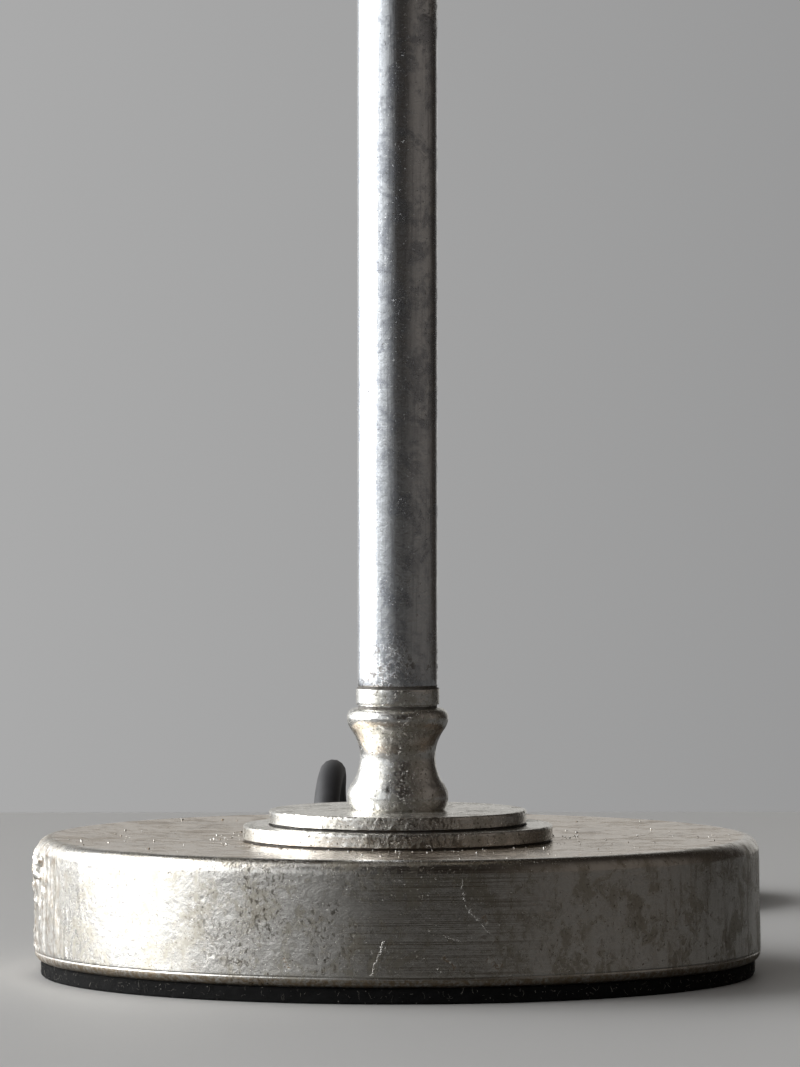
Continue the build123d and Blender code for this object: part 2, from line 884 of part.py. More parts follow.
def plug(tip, direction):
    """Flat two-pin plug along a level direction: relief, waisted body and the pins."""
    side = Vector(direction.Y, -direction.X, 0)
    frame = Plane(origin=tip, x_dir=side, z_dir=direction)
    relief = loft([frame * Circle(lead_r + outlet_tip_wall),
                   frame.offset(plug_relief_len) * Circle(plug_relief_r)])
    grip = plug_relief_len + plug_grip_at
    end = plug_relief_len + plug_body_len
    half = plug_body_w / 2
    outline = make_face(
        Polyline(
            (-plug_neck_w / 2, plug_relief_len),
            (plug_neck_w / 2, plug_relief_len),
            (plug_waist_w / 2, plug_relief_len + plug_waist_at),
            (half, grip),
            (half, end),
            (-half, end),
            (-half, grip),
            (-plug_waist_w / 2, plug_relief_len + plug_waist_at),
            close=True,
        )
    )
    outline = fillet(outline.vertices().filter_by(lambda v: v.Y < end - plug_round), plug_round)
    flat = Plane(origin=tip, x_dir=side, z_dir=(0, 0, 1))
    body = extrude(flat * outline, plug_body_t / 2, both=True)
    body = chamfer(body.edges().filter_by(GeomType.LINE).filter_by(Axis.Z, reverse=True), plug_edge)
    pins = []
    for shift in (-pin_spacing / 2, pin_spacing / 2):
        foot = frame.offset(end).shift_origin(tip + direction * end + side * shift)
        pin = extrude(foot * Circle(pin_r), pin_len)
        pins.append(chamfer(pin.faces().sort_by_distance(tip)[-1].edges(), pin_round))
    return body + relief, pins


# ---------------------------------------------------------------- build
lead_solid, lead_wire = free_lead()
coil_wire, coil_end, coil_out = coil_curve()
plug_dir = heading(plug_heading)
tail_route = [coil_end, coil_end + coil_out * tail_level]
tail_step = Vector(0, 0, (plug_body_t / 2 - coil_end.Z) / len(tail_headings))
for degrees in tail_headings:
    tail_route.append(tail_route[-1] + heading(degrees) * tail_run + tail_step)
tail_route.append(tail_route[-1] + plug_dir * tail_run)
tail_wire, tail_radii = lead_path(tail_route)
plug_solid, plug_pins = plug(tail_route[-1], plug_dir)
coil_solid = bar(coil_wire, lead_r, lead_sides)

parts["base_pad"] = base_pad()
parts["base_cover"] = base_cover()
parts["base_weight"] = base_weight()
parts["threaded_tube"] = threaded_tube()
parts["clamp_washer"] = clamp_washer()
parts["clamp_nut"] = clamp_nut()
parts["lower_disc"] = disc(lower_disc_r, seat_z, lower_disc_t)
parts["upper_disc"] = disc(upper_disc_r, lower_disc_top, upper_disc_t)
parts["lower_neck"] = neck(upper_disc_top)
parts["lower_ferrule"] = ferrule(neck_top)
parts["pole"] = pole()
parts["upper_ferrule"] = ferrule(pole_top, upside_down=True)
parts["upper_neck"] = neck(top_neck_foot, upside_down=True)
parts["drip_cup"] = drip_cup()
parts["candle_sleeve"] = candle_sleeve()
parts["lampholder_cap"] = lampholder_cap()
parts["top_nut"] = top_nut()
parts["lampholder_body"] = lampholder_body()
parts["insulator"] = insulator()
parts["screw_shell"] = screw_shell()
parts["centre_contact"] = centre_contact()
parts["terminals"] = Compound(children=terminals())
parts["switch_spindle"] = switch_spindle()
parts["switch_knob"] = switch_knob()
parts["bulb_cap"] = bulb_cap()
parts["bulb_contact"] = bulb_contact()
parts["bulb_glass"] = bulb_glass()
parts["shade_cover"] = shade_cover()
parts["shade_top_ring"] = top_ring()
parts["shade_bottom_ring"] = bottom_ring()
parts["shade_plate"] = shade_plate()
parts["shade_arms"] = Compound(children=shade_arms())
parts["shade_bottom_tape"] = tape(0, 1)
parts["shade_top_tape"] = tape(slant_len, -1)
parts["shade_clamp"] = shade_clamp()
parts["lead_outlet"] = lead_outlet()
parts["outlet_nut"] = outlet_nut()
parts["inner_lead"] = inner_lead()
parts["lead_cores"] = Compound(children=lead_cores())
parts["lead_free"] = lead_solid
parts["lead_coil"] = coil_solid
parts["lead_tail"] = bar(tail_wire, lead_r, lead_sides)
parts["plug_body"] = plug_solid
parts["plug_pins"] = Compound(children=plug_pins)

section_area = RegularPolygon(lead_r, lead_sides).area
for name, wire, solid in (
    ("lead_free", lead_wire, lead_solid),
    ("lead_coil", coil_wire, coil_solid),
    ("lead_tail", tail_wire, parts["lead_tail"]),
):
    print("%s: length %.1f, volume %.1f, section x length %.1f" % (
        name, wire.length, solid.volume, section_area * wire.length))
print("tail radii", [round(r, 1) for r in tail_radii])
print("coil: least gap between turns %.2f" % coil_gap(coil_wire))
print("lead in all: %.0f" % (lead_wire.length + coil_wire.length + tail_wire.length))

os.makedirs("parts", exist_ok=True)
for name, shape in parts.items():
    export_step(shape, "parts/%s.step" % name)
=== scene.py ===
import itertools
import math

import bmesh
import bpy
import numpy as np
from mathutils import Matrix, Vector


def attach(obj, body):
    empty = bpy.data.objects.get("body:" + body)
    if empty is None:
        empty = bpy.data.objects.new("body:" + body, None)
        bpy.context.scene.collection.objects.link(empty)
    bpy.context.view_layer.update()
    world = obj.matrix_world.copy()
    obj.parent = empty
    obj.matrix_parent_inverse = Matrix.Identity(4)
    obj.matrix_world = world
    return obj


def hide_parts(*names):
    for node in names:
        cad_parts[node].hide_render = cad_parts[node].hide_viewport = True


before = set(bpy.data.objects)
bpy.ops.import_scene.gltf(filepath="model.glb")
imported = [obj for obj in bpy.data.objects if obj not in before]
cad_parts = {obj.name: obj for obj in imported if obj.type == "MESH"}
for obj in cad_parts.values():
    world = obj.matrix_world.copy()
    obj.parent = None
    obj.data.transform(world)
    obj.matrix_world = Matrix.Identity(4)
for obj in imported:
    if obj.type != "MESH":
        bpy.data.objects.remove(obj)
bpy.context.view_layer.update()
mm = 0.001  # shapes are sized in millimetres, Blender's in metres
scene = bpy.context.scene
print("frame loaded:", len(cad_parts), "nodes")

# the heights that the turned pieces share, from the table up
heights = {
    "padTop": 3.9, "seat": 33.2, "rim": 34.5, "lowerDiscTop": 37.2, "upperDiscTop": 40.9, "neckTop": 66.2,
    "poleFoot": 71.8, "poleTop": 371.8, "topNeckFoot": 377.4, "cup": 402.7, "sleeveFoot": 405.7,
    "sleeveTop": 447.7, "holderFoot": 465.7, "switch": 470.3, "capLow": 478.35, "shadeSeat": 483.7,
    "capHigh": 502.35, "holderTop": 507.7,
}
bore = 5.35  # through every piece on the clamp tube
discRadii = {"seat": 38.6, "lowerDiscTop": 32.1}  # of the disc that stands at each height
finishes = {}


# node trees: numbers that vary are Signals, and sums and products of them add Math nodes
class Signal:
    def __init__(self, nodes, socket):
        self.nodes = nodes
        self.socket = socket

    def __add__(self, other):
        return self.nodes.math("ADD", self, other)

    def __sub__(self, other):
        return self.nodes.math("SUBTRACT", self, other)

    def __rsub__(self, other):
        return self.nodes.math("SUBTRACT", other, self)

    def __mul__(self, other):
        return self.nodes.math("MULTIPLY", self, other)

    def __truediv__(self, other):
        return self.nodes.math("DIVIDE", self, other)

    __radd__ = __add__
    __rmul__ = __mul__

    def other(self, output):
        return Signal(self.nodes, self.socket.node.outputs[output])


class Nodes:
    def __init__(self, tree):
        self.tree = tree

    def join(self, value, socket):
        if isinstance(value, Signal):
            self.tree.links.new(value.socket, socket)
        elif socket.type == "RGBA" and len(value) == 3:
            socket.default_value = (*value, 1)
        else:
            socket.default_value = value

    def node(self, kind, inputs, output=0, **settings):
        node = self.tree.nodes.new(kind)
        for key, value in settings.items():
            setattr(node, key, value)
        for key, value in inputs.items():
            self.join(value, node.inputs[key])
        return Signal(self, node.outputs[output])

    def math(self, operation, first, second=0.0):
        return self.node("ShaderNodeMath", {0: first, 1: second}, operation=operation)

    def most(self, first, second):
        return self.math("MAXIMUM", first, second)

    def rise(self, value, low, high):  # 0 below low, 1 above high, smooth between
        ends = {"Value": value, "From Min": low, "From Max": high}
        return self.node("ShaderNodeMapRange", ends, interpolation_type="SMOOTHSTEP")

    def fall(self, value, low, high):
        return 1 - self.rise(value, low, high)

    def window(self, value, start, full, fading, end):
        return self.rise(value, start, full) * self.fall(value, fading, end)

    def blend(self, factor, first, second):
        return self.node("ShaderNodeMix", {0: factor, 6: first, 7: second}, 2, data_type="RGBA")

    def vector(self, x=0.0, y=0.0, z=0.0):
        return self.node("ShaderNodeCombineXYZ", {0: x, 1: y, 2: z})

    def split(self, vector):
        found = self.node("ShaderNodeSeparateXYZ", {0: vector})
        return found, found.other("Y"), found.other("Z")


class Finish(Nodes):  # one material; constants go on the shader's own sockets
    def __init__(self, name, constants):
        self.material = bpy.data.materials.new(name)
        self.material.use_nodes = True
        super().__init__(self.material.node_tree)
        self.shader = self.tree.nodes["Principled BSDF"]
        self.place = self.node("ShaderNodeTexCoord", {}, "Object")
        self.feed(constants)
        finishes[name] = self.material

    def feed(self, values):
        for socket, value in values.items():
            self.join(value, self.shader.inputs[socket])

    def noise(self, scale, detail=4.0, roughness=0.5, distortion=0.0, factors=None, place=None):
        place = place or self.place
        if factors:
            place = self.node("ShaderNodeVectorMath", {0: place, 1: factors}, operation="MULTIPLY")
        names = ("Vector", "Scale", "Detail", "Roughness", "Distortion")
        values = (place, scale, detail, roughness, distortion)
        return self.node("ShaderNodeTexNoise", dict(zip(names, values)))

    def paint(self, mask, colour, share=1.0, **changes):
        # lays a colour over the mask, and adds to the roughness, metal or height there
        self.colour = self.blend(mask * share, self.colour, colour)
        self.add(mask, **changes)

    def add(self, mask, **changes):
        for name, amount in changes.items():
            setattr(self, name, getattr(self, name) + mask * amount)

    def done(self, colour, rough, height, depth, metal=0.0):
        bump = self.node("ShaderNodeBump", {"Height": height, "Distance": depth, "Strength": 1.0})
        self.feed({"Base Color": colour, "Roughness": rough, "Metallic": metal, "Normal": bump})


# finishes
silverLook = {
    "leaf": (0.85, 0.845, 0.82),
    "tarnish": (0.60, 0.585, 0.535),
    "grime": (0.10, 0.075, 0.05),
    "glint": (0.92, 0.90, 0.86),
    "roughLeaf": 0.20,
    "roughTarnish": 0.33,
    "patch": 110.0,  # features per metre
    "crinkle": 560.0,
    "grain": 2400.0,
    "speck": 1500.0,
    "streak": 300.0,
    "turning": 420.0,
    "speckLevel": 0.64,
    "glintLevel": 0.66,
    "crinkleHigh": 0.000065,  # metres
}


def agedSilver(name, changes, wear=None):
    # thin leaf over a darker ground: crinkled, specked with dirt, lightly scored by turning
    look = dict(silverLook, **changes)
    finish = Finish(name, {})
    patch = finish.noise(look["patch"], 6.0, 0.62, 0.8)
    crinkle = finish.noise(look["crinkle"], 2.5, 0.55, 0.6)
    grain = finish.noise(look["grain"], 2.0)
    speck = finish.noise(look["speck"], 4.0, 0.65)
    lines = finish.noise(look["turning"], 3.0, 0.6, factors=(0.12, 0.12, 7.0))
    smear = finish.noise(look["streak"], 4.0, 0.6, factors=(1.0, 1.0, 0.13))
    worn = finish.rise(patch * 0.7 + crinkle * 0.3, 0.46, 0.60)
    scored = finish.rise(lines, 0.52, 0.66) * finish.rise(patch, 0.40, 0.52)
    smeared = finish.rise(smear, 0.53, 0.68)
    dirt = finish.rise(speck + worn * 0.035, look["speckLevel"], look["speckLevel"] + 0.035)
    glint = finish.rise(1 - speck + (patch - 0.5) * 0.25, look["glintLevel"], look["glintLevel"] + 0.04)
    finish.colour = finish.blend(worn, look["leaf"], look["tarnish"])
    finish.rough = look["roughLeaf"] + worn * (look["roughTarnish"] - look["roughLeaf"])
    finish.metal = 1 - dirt * 0.7
    finish.height = crinkle + grain * 0.06 + scored * 0.05 - dirt * 0.55 + glint * 0.7 - worn * 0.15
    finish.paint(scored * 0.22 + smeared * 0.28, look["tarnish"])
    finish.paint(glint, look["glint"])
    finish.paint(dirt, look["grime"], 0.9)
    finish.rough = finish.rough + (grain - 0.5) * 0.10 + dirt * 0.3 + smeared * 0.05
    if wear:
        wear(finish, look)
    finish.done(finish.colour, finish.rough, finish.height, look["crinkleHigh"], finish.metal)


def scratch(finish, start, end, width, waver):
    # how near a point of the front is to a ragged line from start to end, both (x, z)
    x, y, z = finish.split(finish.place)
    wander = (finish.noise(620.0, 5.0, 0.65) - 0.5) * waver
    length = math.dist(start, end)
    runX, runZ = (end[0] - start[0]) / length, (end[1] - start[1]) / length
    offX, offZ = x - start[0], z - start[1]
    along = offX * runX + offZ * runZ
    beyond = finish.most(along * -1.0, along - length)
    near = finish.most(beyond, finish.math("ABSOLUTE", offX * runZ - offZ * runX + wander))
    broken = finish.rise(finish.noise(900.0, 3.0), 0.38, 0.46)
    return broken * finish.fall(near, width * 0.3, width) * finish.fall(y, -0.06, -0.05)


baseWear = {
    "topTan": (0.55, 0.45, 0.345),
    "stain": (0.30, 0.235, 0.17),
    "edgeTan": (0.34, 0.26, 0.175),
    "smears": (0.20, 0.165, 0.12),
    "torn": (0.055, 0.046, 0.033),
    "crustPale": (0.86, 0.84, 0.79),
    "chip": (0.30, 0.21, 0.13),
    # places in metres: where each starts, is full, starts to fade and ends
    "smearedFrom": (0.040, 0.075),
    "crumpled": (-0.054, -0.040, -0.014, 0.004),
    "scored": (-0.02, 0.0, 0.022, 0.04),
    # start, end, width and waver of each mark
    "cracks": [
        ((-0.0034, 0.0152), (-0.0063, 0.0070), 0.00022, 0.0030),
        ((0.0152, 0.0300), (0.0162, 0.0235), 0.00016, 0.0020),
        ((0.0162, 0.0235), (0.0222, 0.0168), 0.00018, 0.0030),
        ((0.0110, 0.0165), (0.0150, 0.0150), 0.00014, 0.0020),
    ],
    "chips": [
        ((0.0112, 0.0112), (0.0132, 0.0090), 0.0010, 0.0040),
        ((0.0218, 0.0104), (0.0240, 0.0088), 0.0011, 0.0040),
        ((0.0206, 0.0208), (0.0214, 0.0196), 0.0006, 0.0030),
        ((-0.0270, 0.0108), (-0.0262, 0.0085), 0.0005, 0.0030),
    ],
}


def wornBase(finish, look):
    wear = baseWear
    x, y, z = finish.split(finish.place)
    reach = finish.math("POWER", x * x + y * y, 0.5)
    fine = finish.noise(900.0, 5.0, 0.7)
    flat = finish.fall(reach, 0.0850, 0.0872) * finish.rise(z, 0.0318, 0.0330)
    upright = finish.fall(flat, 0.1, 0.5)
    finish.paint(flat, wear["topTan"], 0.8)
    finish.paint(finish.rise(finish.noise(70.0, 5.0, 0.65, 0.5), 0.52, 0.64) * flat, wear["stain"], 0.55)
    finish.paint(finish.rise(fine, 0.63, 0.68) * flat, look["grime"], 0.8)
    roll = finish.fall(z, 0.0058, 0.0062)
    finish.paint(roll * finish.rise(fine, 0.35, 0.6), wear["edgeTan"])
    finish.add(roll, rough=0.12)
    # brown smears run down the right of the side
    smear = finish.noise(330.0, 6.0, 0.72, 0.3, (1.0, 1.0, 0.16))
    smeared = finish.rise(smear, 0.46, 0.72) * finish.rise(x, *wear["smearedFrom"]) * upright
    finish.paint(smeared, wear["smears"], 0.6, rough=0.10)
    # crumpled leaf left of the middle, horizontal scoring at the middle
    crumpled = finish.window(x, *wear["crumpled"]) * finish.fall(y, 0.0, 0.01)
    shreds = finish.noise(950.0, 6.0, 0.78, 0.2, (1.0, 1.0, 0.7))
    clumps = finish.rise(finish.noise(90.0, 3.0), 0.42, 0.58)
    torn = finish.rise(shreds, 0.51, 0.59) * (0.25 + crumpled * 0.75) * clumps * upright
    finish.add(crumpled * finish.noise(330.0, 6.0, 0.68, 0.2), height=3.0)
    finish.paint(torn, wear["torn"], 0.85, rough=0.12, height=-0.5)
    scored = finish.noise(420.0, 3.0, 0.65, factors=(0.05, 0.05, 8.0))
    middle = finish.window(x, *wear["scored"]) * upright
    finish.paint(finish.rise(scored, 0.5, 0.62) * middle, wear["smears"], 0.75)
    finish.add(scored * middle, height=0.6)
    # flaking leaf on the left, with runs below it
    side = finish.fall(x / reach, -0.985, -0.86) * upright
    runs = finish.noise(620.0, 4.0, 0.7, factors=(1.0, 1.0, 0.12))
    finish.paint(side * finish.rise(runs, 0.46, 0.60), wear["crustPale"], 0.8, height=1.4)
    soil = side * finish.rise(finish.noise(420.0, 5.0, 0.72), 0.50, 0.62)
    finish.paint(soil, wear["chip"], 0.75, metal=-0.6)
    finish.add(side, rough=0.18)
    for crack in wear["cracks"]:
        finish.paint(scratch(finish, *crack), look["glint"], height=1.6)
    chipped = finish.blend(finish.rise(fine, 0.46, 0.56), wear["chip"], wear["crustPale"])
    for chip in wear["chips"]:
        line = scratch(finish, *chip)
        finish.paint(line, chipped, rough=0.3, height=-1.2)
        finish.add(fine * line, height=2.0)


def jointShadeAndFolds(finish, look):
    # painted shade in the joint under each disc, and crumpled edges at the front
    x, y, z = finish.split(finish.place)
    uneven = (finish.noise(500.0, 3.0) - 0.5) * 0.0004
    reach = (x * x + y * y) / mm**2
    for joint, edge in discRadii.items():
        high = heights[joint] * mm + 0.00055
        jointShade = finish.fall(z + uneven, high, high + 0.0002) * finish.rise(z, high - 0.0008, high - 0.0006)
        limits = [(edge + offset) ** 2 for offset in (-0.9, -0.75, 0.1, 0.2)]
        jointShade = jointShade * finish.window(reach, *limits)
        # painted shade: a near-black band in the recess at the foot of each disc
        finish.paint(jointShade, (0.03, 0.022, 0.015), 0.92, metal=-0.6, rough=0.3)
    front = finish.fall(y, -0.029, -0.024) * finish.window(x, -0.012, -0.006, 0.012, 0.020)
    folds = finish.noise(700.0, 3.0, 0.6, 1.0, (1.0, 1.0, 0.6))
    finish.add(front * folds, height=3.0)
    finish.paint(front * finish.rise(folds, 0.5, 0.58), look["grime"], 0.7)


def grooveShade(finish, look):
    # painted shade in the grooves at both ends of each ferrule
    z = finish.split(finish.place)[2]
    uneven = (finish.noise(900.0) - 0.5) * 0.0006
    for joint, inward in (("neckTop", 1), ("poleFoot", -1), ("poleTop", 1), ("topNeckFoot", -1)):
        middle = (heights[joint] + inward * 0.32) * mm
        groove = finish.fall(finish.math("ABSOLUTE", z + uneven - middle), 0.0003, 0.0005)
        # painted shade: a dark band along each groove
        finish.paint(groove, (0.045, 0.033, 0.022), 0.85, metal=-0.5, rough=0.3)


def spotted(finish, look):
    # crusty specks gather at the foot of the pole and high on its left
    z = finish.split(finish.place)[2]
    crust = finish.noise(700.0, 5.0, 0.72)
    foot = finish.fall(z, 0.078, 0.090) * finish.rise(finish.noise(130.0, 2.0), 0.42, 0.56)
    high = finish.rise(finish.noise(36.0, 3.0), 0.60, 0.68)
    spots = finish.rise(crust, 0.50, 0.60) * finish.most(foot, high * 0.7)
    drawn = finish.noise(1500.0, 4.0, 0.65, factors=(1.0, 1.0, 0.035))
    finish.paint(spots, look["grime"], 0.75, rough=0.2, height=0.9)
    finish.paint(finish.rise(drawn, 0.5, 0.68), look["drawn"], 0.5)
    finish.add(drawn, height=0.55)


def plainFinish(name, colour, darker, rough, metal, scale, depth):
    # a quiet surface: two close colours, uneven gloss and a fine relief
    finish = Finish(name, {})
    broad = finish.noise(scale, 5.0, 0.6)
    fine = finish.noise(scale * 9, 4.0, 0.6)
    colour = finish.blend(finish.rise(broad, 0.35, 0.68), colour, darker)
    gloss = rough + (fine - 0.5) * 0.14 + (broad - 0.5) * 0.10
    finish.done(colour, gloss, fine * 0.7 + broad * 0.3, depth, metal)


def feltFinish():
    finish = Finish("feltBlack", {"Specular IOR Level": 0.25})
    matted = finish.noise(1500.0, 6.0, 0.75)
    spots = finish.node("ShaderNodeTexVoronoi", {"Vector": finish.place, "Scale": 700.0}, "Distance")
    lint = finish.fall(spots, 0.05, 0.14) * finish.rise(finish.noise(160.0, 3.0), 0.44, 0.52)
    colour = finish.blend(matted, (0.002, 0.002, 0.0023), (0.010, 0.0098, 0.0095))
    colour = finish.blend(lint, colour, (0.55, 0.52, 0.47))
    finish.done(colour, 0.92 + (matted - 0.5) * 0.1, matted + lint, 0.0005)


def linenFinish(name, pitch):
    # plain weave on the piece's own map, in metres around and along
    finish = Finish(name, {"Sheen Weight": 0.2})
    cloth = finish.node("ShaderNodeTexCoord", {}, "UV")
    around, along = finish.split(cloth)[:2]
    turn = 2 * math.pi / pitch
    weave = finish.math("SINE", around * turn) * finish.math("SINE", along * turn)
    slubAround = finish.noise(1.0, 3.0, 0.6, 0.0, (28.0, 1500.0, 1.0), cloth)
    slubAlong = finish.noise(1.0, 3.0, 0.6, 0.0, (1500.0, 28.0, 1.0), cloth)
    slub = finish.rise(slubAround, 0.52, 0.72) * 0.6 + finish.rise(slubAlong, 0.54, 0.74) * 0.5
    colour = finish.blend(slub, (0.76, 0.70, 0.60), (0.60, 0.52, 0.41))
    colour = finish.blend(finish.rise(weave, -0.9, -0.2) * 0.35, (0.50, 0.44, 0.35), colour)
    colour = finish.blend(finish.rise(weave, -0.8, 0.1), (0.56, 0.50, 0.41), colour)
    colour = finish.blend(finish.noise(12.0, 3.0) * 0.12, colour, (0.66, 0.58, 0.46))
    finish.done(colour, 0.86 + slub * 0.06, weave * 0.5 + slub * 0.8, 0.00018)


def opalFinish():
    finish = Finish("opalGlass", {"Coat Weight": 0.0, "IOR": 1.5, "Emission Strength": 0.0})
    cloud = finish.noise(40.0, 3.0)
    colour = finish.blend(cloud, (0.90, 0.885, 0.85), (0.84, 0.825, 0.785))
    finish.done(colour, 0.22 + cloud * 0.06, cloud, 0.00005)


def pinFinish(sleeveEnd):
    # bare nickel at the tips, a black sleeve next to the plug
    finish = Finish("pinNickel", {})
    sleeve = finish.rise(finish.split(finish.place)[0], sleeveEnd, sleeveEnd + 0.0001)
    fine = finish.noise(900.0)
    colour = finish.blend(sleeve, (0.70, 0.68, 0.62), (0.02, 0.02, 0.02))
    finish.done(colour, 0.24 + sleeve * 0.22 + (fine - 0.5) * 0.1, fine, 0.00003, 1 - sleeve)


fineSpecks = {"patch": 150.0, "speckLevel": 0.62, "glintLevel": 0.63}
baseSilver = {"leaf": (0.66, 0.64, 0.60), "tarnish": (0.45, 0.42, 0.36), "roughLeaf": 0.19}
discSilver = {"leaf": (0.80, 0.78, 0.735), "speckLevel": 0.61, "glintLevel": 0.63}
poleSilver = {
    "leaf": (0.86, 0.885, 0.91), "tarnish": (0.52, 0.54, 0.58), "drawn": (0.42, 0.43, 0.46),
    "roughTarnish": 0.27, "speckLevel": 0.66,
}
agedSilver("silverBase", dict(baseSilver, roughTarnish=0.31, crinkleHigh=0.00004), wornBase)
agedSilver("silverDiscs", dict(discSilver, crinkleHigh=0.00008), jointShadeAndFolds)
agedSilver("silverNeck", dict(fineSpecks, crinkleHigh=0.00009))
agedSilver("silverFerrule", dict(fineSpecks, crinkleHigh=0.00008), grooveShade)
agedSilver("silverPole", dict(poleSilver, crinkleHigh=0.00004), spotted)
agedSilver("silverFlakes", {"patch": 700.0, "tarnish": (0.20, 0.15, 0.10), "roughLeaf": 0.3})
# colour, darker colour, roughness, metal, features per metre, depth of the relief in metres
plainLooks = {
    "castIron": ((0.13, 0.13, 0.135), (0.07, 0.065, 0.06), 0.62, 0.7, 260.0, 0.0003),
    "zincPlate": ((0.60, 0.61, 0.62), (0.45, 0.46, 0.48), 0.34, 1.0, 300.0, 0.00004),
    "barrelBlack": ((0.018, 0.018, 0.019), (0.028, 0.027, 0.027), 0.30, 0.0, 180.0, 0.00003),
    "porcelain": ((0.82, 0.80, 0.75), (0.74, 0.72, 0.67), 0.42, 0.0, 200.0, 0.00005),
    "bareBrass": ((0.78, 0.60, 0.29), (0.56, 0.41, 0.19), 0.30, 1.0, 320.0, 0.00003),
    "bulbMetal": ((0.74, 0.74, 0.75), (0.60, 0.60, 0.62), 0.30, 1.0, 320.0, 0.00003),
    "whiteWire": ((0.80, 0.80, 0.78), (0.73, 0.73, 0.71), 0.42, 0.0, 240.0, 0.00004),
    "leadSheath": ((0.045, 0.045, 0.048), (0.062, 0.062, 0.065), 0.55, 0.0, 140.0, 0.00005),
    "coreBrown": ((0.20, 0.09, 0.045), (0.15, 0.07, 0.035), 0.45, 0.0, 400.0, 0.00003),
    "plugBlack": ((0.022, 0.022, 0.023), (0.034, 0.034, 0.035), 0.46, 0.0, 420.0, 0.00006),
    "looseFibre": ((0.45, 0.42, 0.37), (0.16, 0.15, 0.14), 0.85, 0.0, 90.0, 0.00002),
    "sewingThread": ((0.62, 0.54, 0.42), (0.50, 0.43, 0.33), 0.7, 0.0, 700.0, 0.00004),
}
for name, look in plainLooks.items():
    plainFinish(name, *look)
feltFinish()
opalFinish()
linenFinish("linen", 0.0011)
linenFinish("linenTape", 0.0008)
pinFinish(-0.0204)
print("finishes:", len(finishes))


# shapes
def field(points, size, seed):
    # a smooth random field, -1 to 1, with features of one size
    spots = points / size + 1000.0
    cell = np.floor(spots).astype(np.int64)
    part = ramp(spots - cell, 0, 1)
    total = np.zeros(len(points))
    for corner in itertools.product((0, 1), repeat=3):
        key = cell + np.array(corner)
        mixed = key[:, 0] * 73856093 ^ key[:, 1] * 19349663 ^ key[:, 2] * 83492791 ^ seed * 2654435
        mixed = mixed & 0x7FFFFFFF
        mixed = (mixed * (mixed * mixed % 65521 * 15731 + 789221) + 1376312589) & 0x7FFFFFFF
        share = np.prod(np.where(corner, part, 1 - part), axis=1)
        total += share * (mixed % 20011 / 10005.0 - 1)
    return total


def ragged(points, size, seed, layers=3):
    return sum(field(points, size / 2**layer, seed + layer) / 2**layer for layer in range(layers))


def ramp(value, low, high):
    part = np.clip((value - low) / (high - low), 0, 1)
    return part * part * (3 - 2 * part)


def outward(points, normals):
    # the radius times the part of the normal that points away from the axis
    return normals[:, 0] * points[:, 0] + normals[:, 1] * points[:, 1]


def unit(vector):
    return vector / np.linalg.norm(vector)


def arc(centre, radius, start, end, steps):
    x, y = centre
    angles = [start + (end - start) * step / steps for step in range(steps + 1)]
    return [(x + radius * math.cos(angle), y + radius * math.sin(angle)) for angle in angles]


def outlineOf(corners, closed=True):
    # corners are (radius, height, rounding, step of the edge that follows); returns dense points
    points = []
    count = len(corners)
    for index, (r, z, rounding, step) in enumerate(corners):
        here = np.array([r, z], float)
        if rounding == 0 or (not closed and index in (0, count - 1)):
            points.append((here, step))
            continue
        before = unit(np.array(corners[index - 1][:2], float) - here)
        after = unit(np.array(corners[(index + 1) % count][:2], float) - here)
        half = math.acos(max(-1.0, min(1.0, float(before @ after)))) / 2
        reach = rounding / math.tan(half)
        start, end = here + before * reach, here + after * reach
        centre = here + unit(before + after) * rounding / math.sin(half)
        pieces = min(14, max(3, math.ceil((math.pi - 2 * half) * rounding / 0.45)))
        for share in range(pieces + 1):
            spot = unit(start + (end - start) * (share / pieces) - centre)
            points.append((centre + spot * rounding, step))
    dense = []
    for index, (spot, step) in enumerate(points):
        dense.append(spot)
        if not closed and index == len(points) - 1:
            break
        run = points[(index + 1) % len(points)][0] - spot
        parts = max(1, round(np.linalg.norm(run) / step))
        dense += [spot + run * share / parts for share in range(1, parts)]
    return np.array(dense)


def linked(name, data):
    made = bpy.data.objects.new(name, data)
    scene.collection.objects.link(made)
    return made


def edited(mesh, change):
    work = bmesh.new()
    work.from_mesh(mesh)
    change(work)
    work.to_mesh(mesh)
    work.free()


def shadeSmooth(made, sharp=35):
    made.data.polygons.foreach_set("use_smooth", [True] * len(made.data.polygons))
    if sharp:
        made.data.set_sharp_from_angle(angle=math.radians(sharp))
    made.data.update()


def meshObject(name, vertices, faces, finish):
    mesh = bpy.data.meshes.new(name)
    mesh.from_pydata(vertices, [], faces)
    mesh.materials.append(finishes[finish])
    return linked(name, mesh)


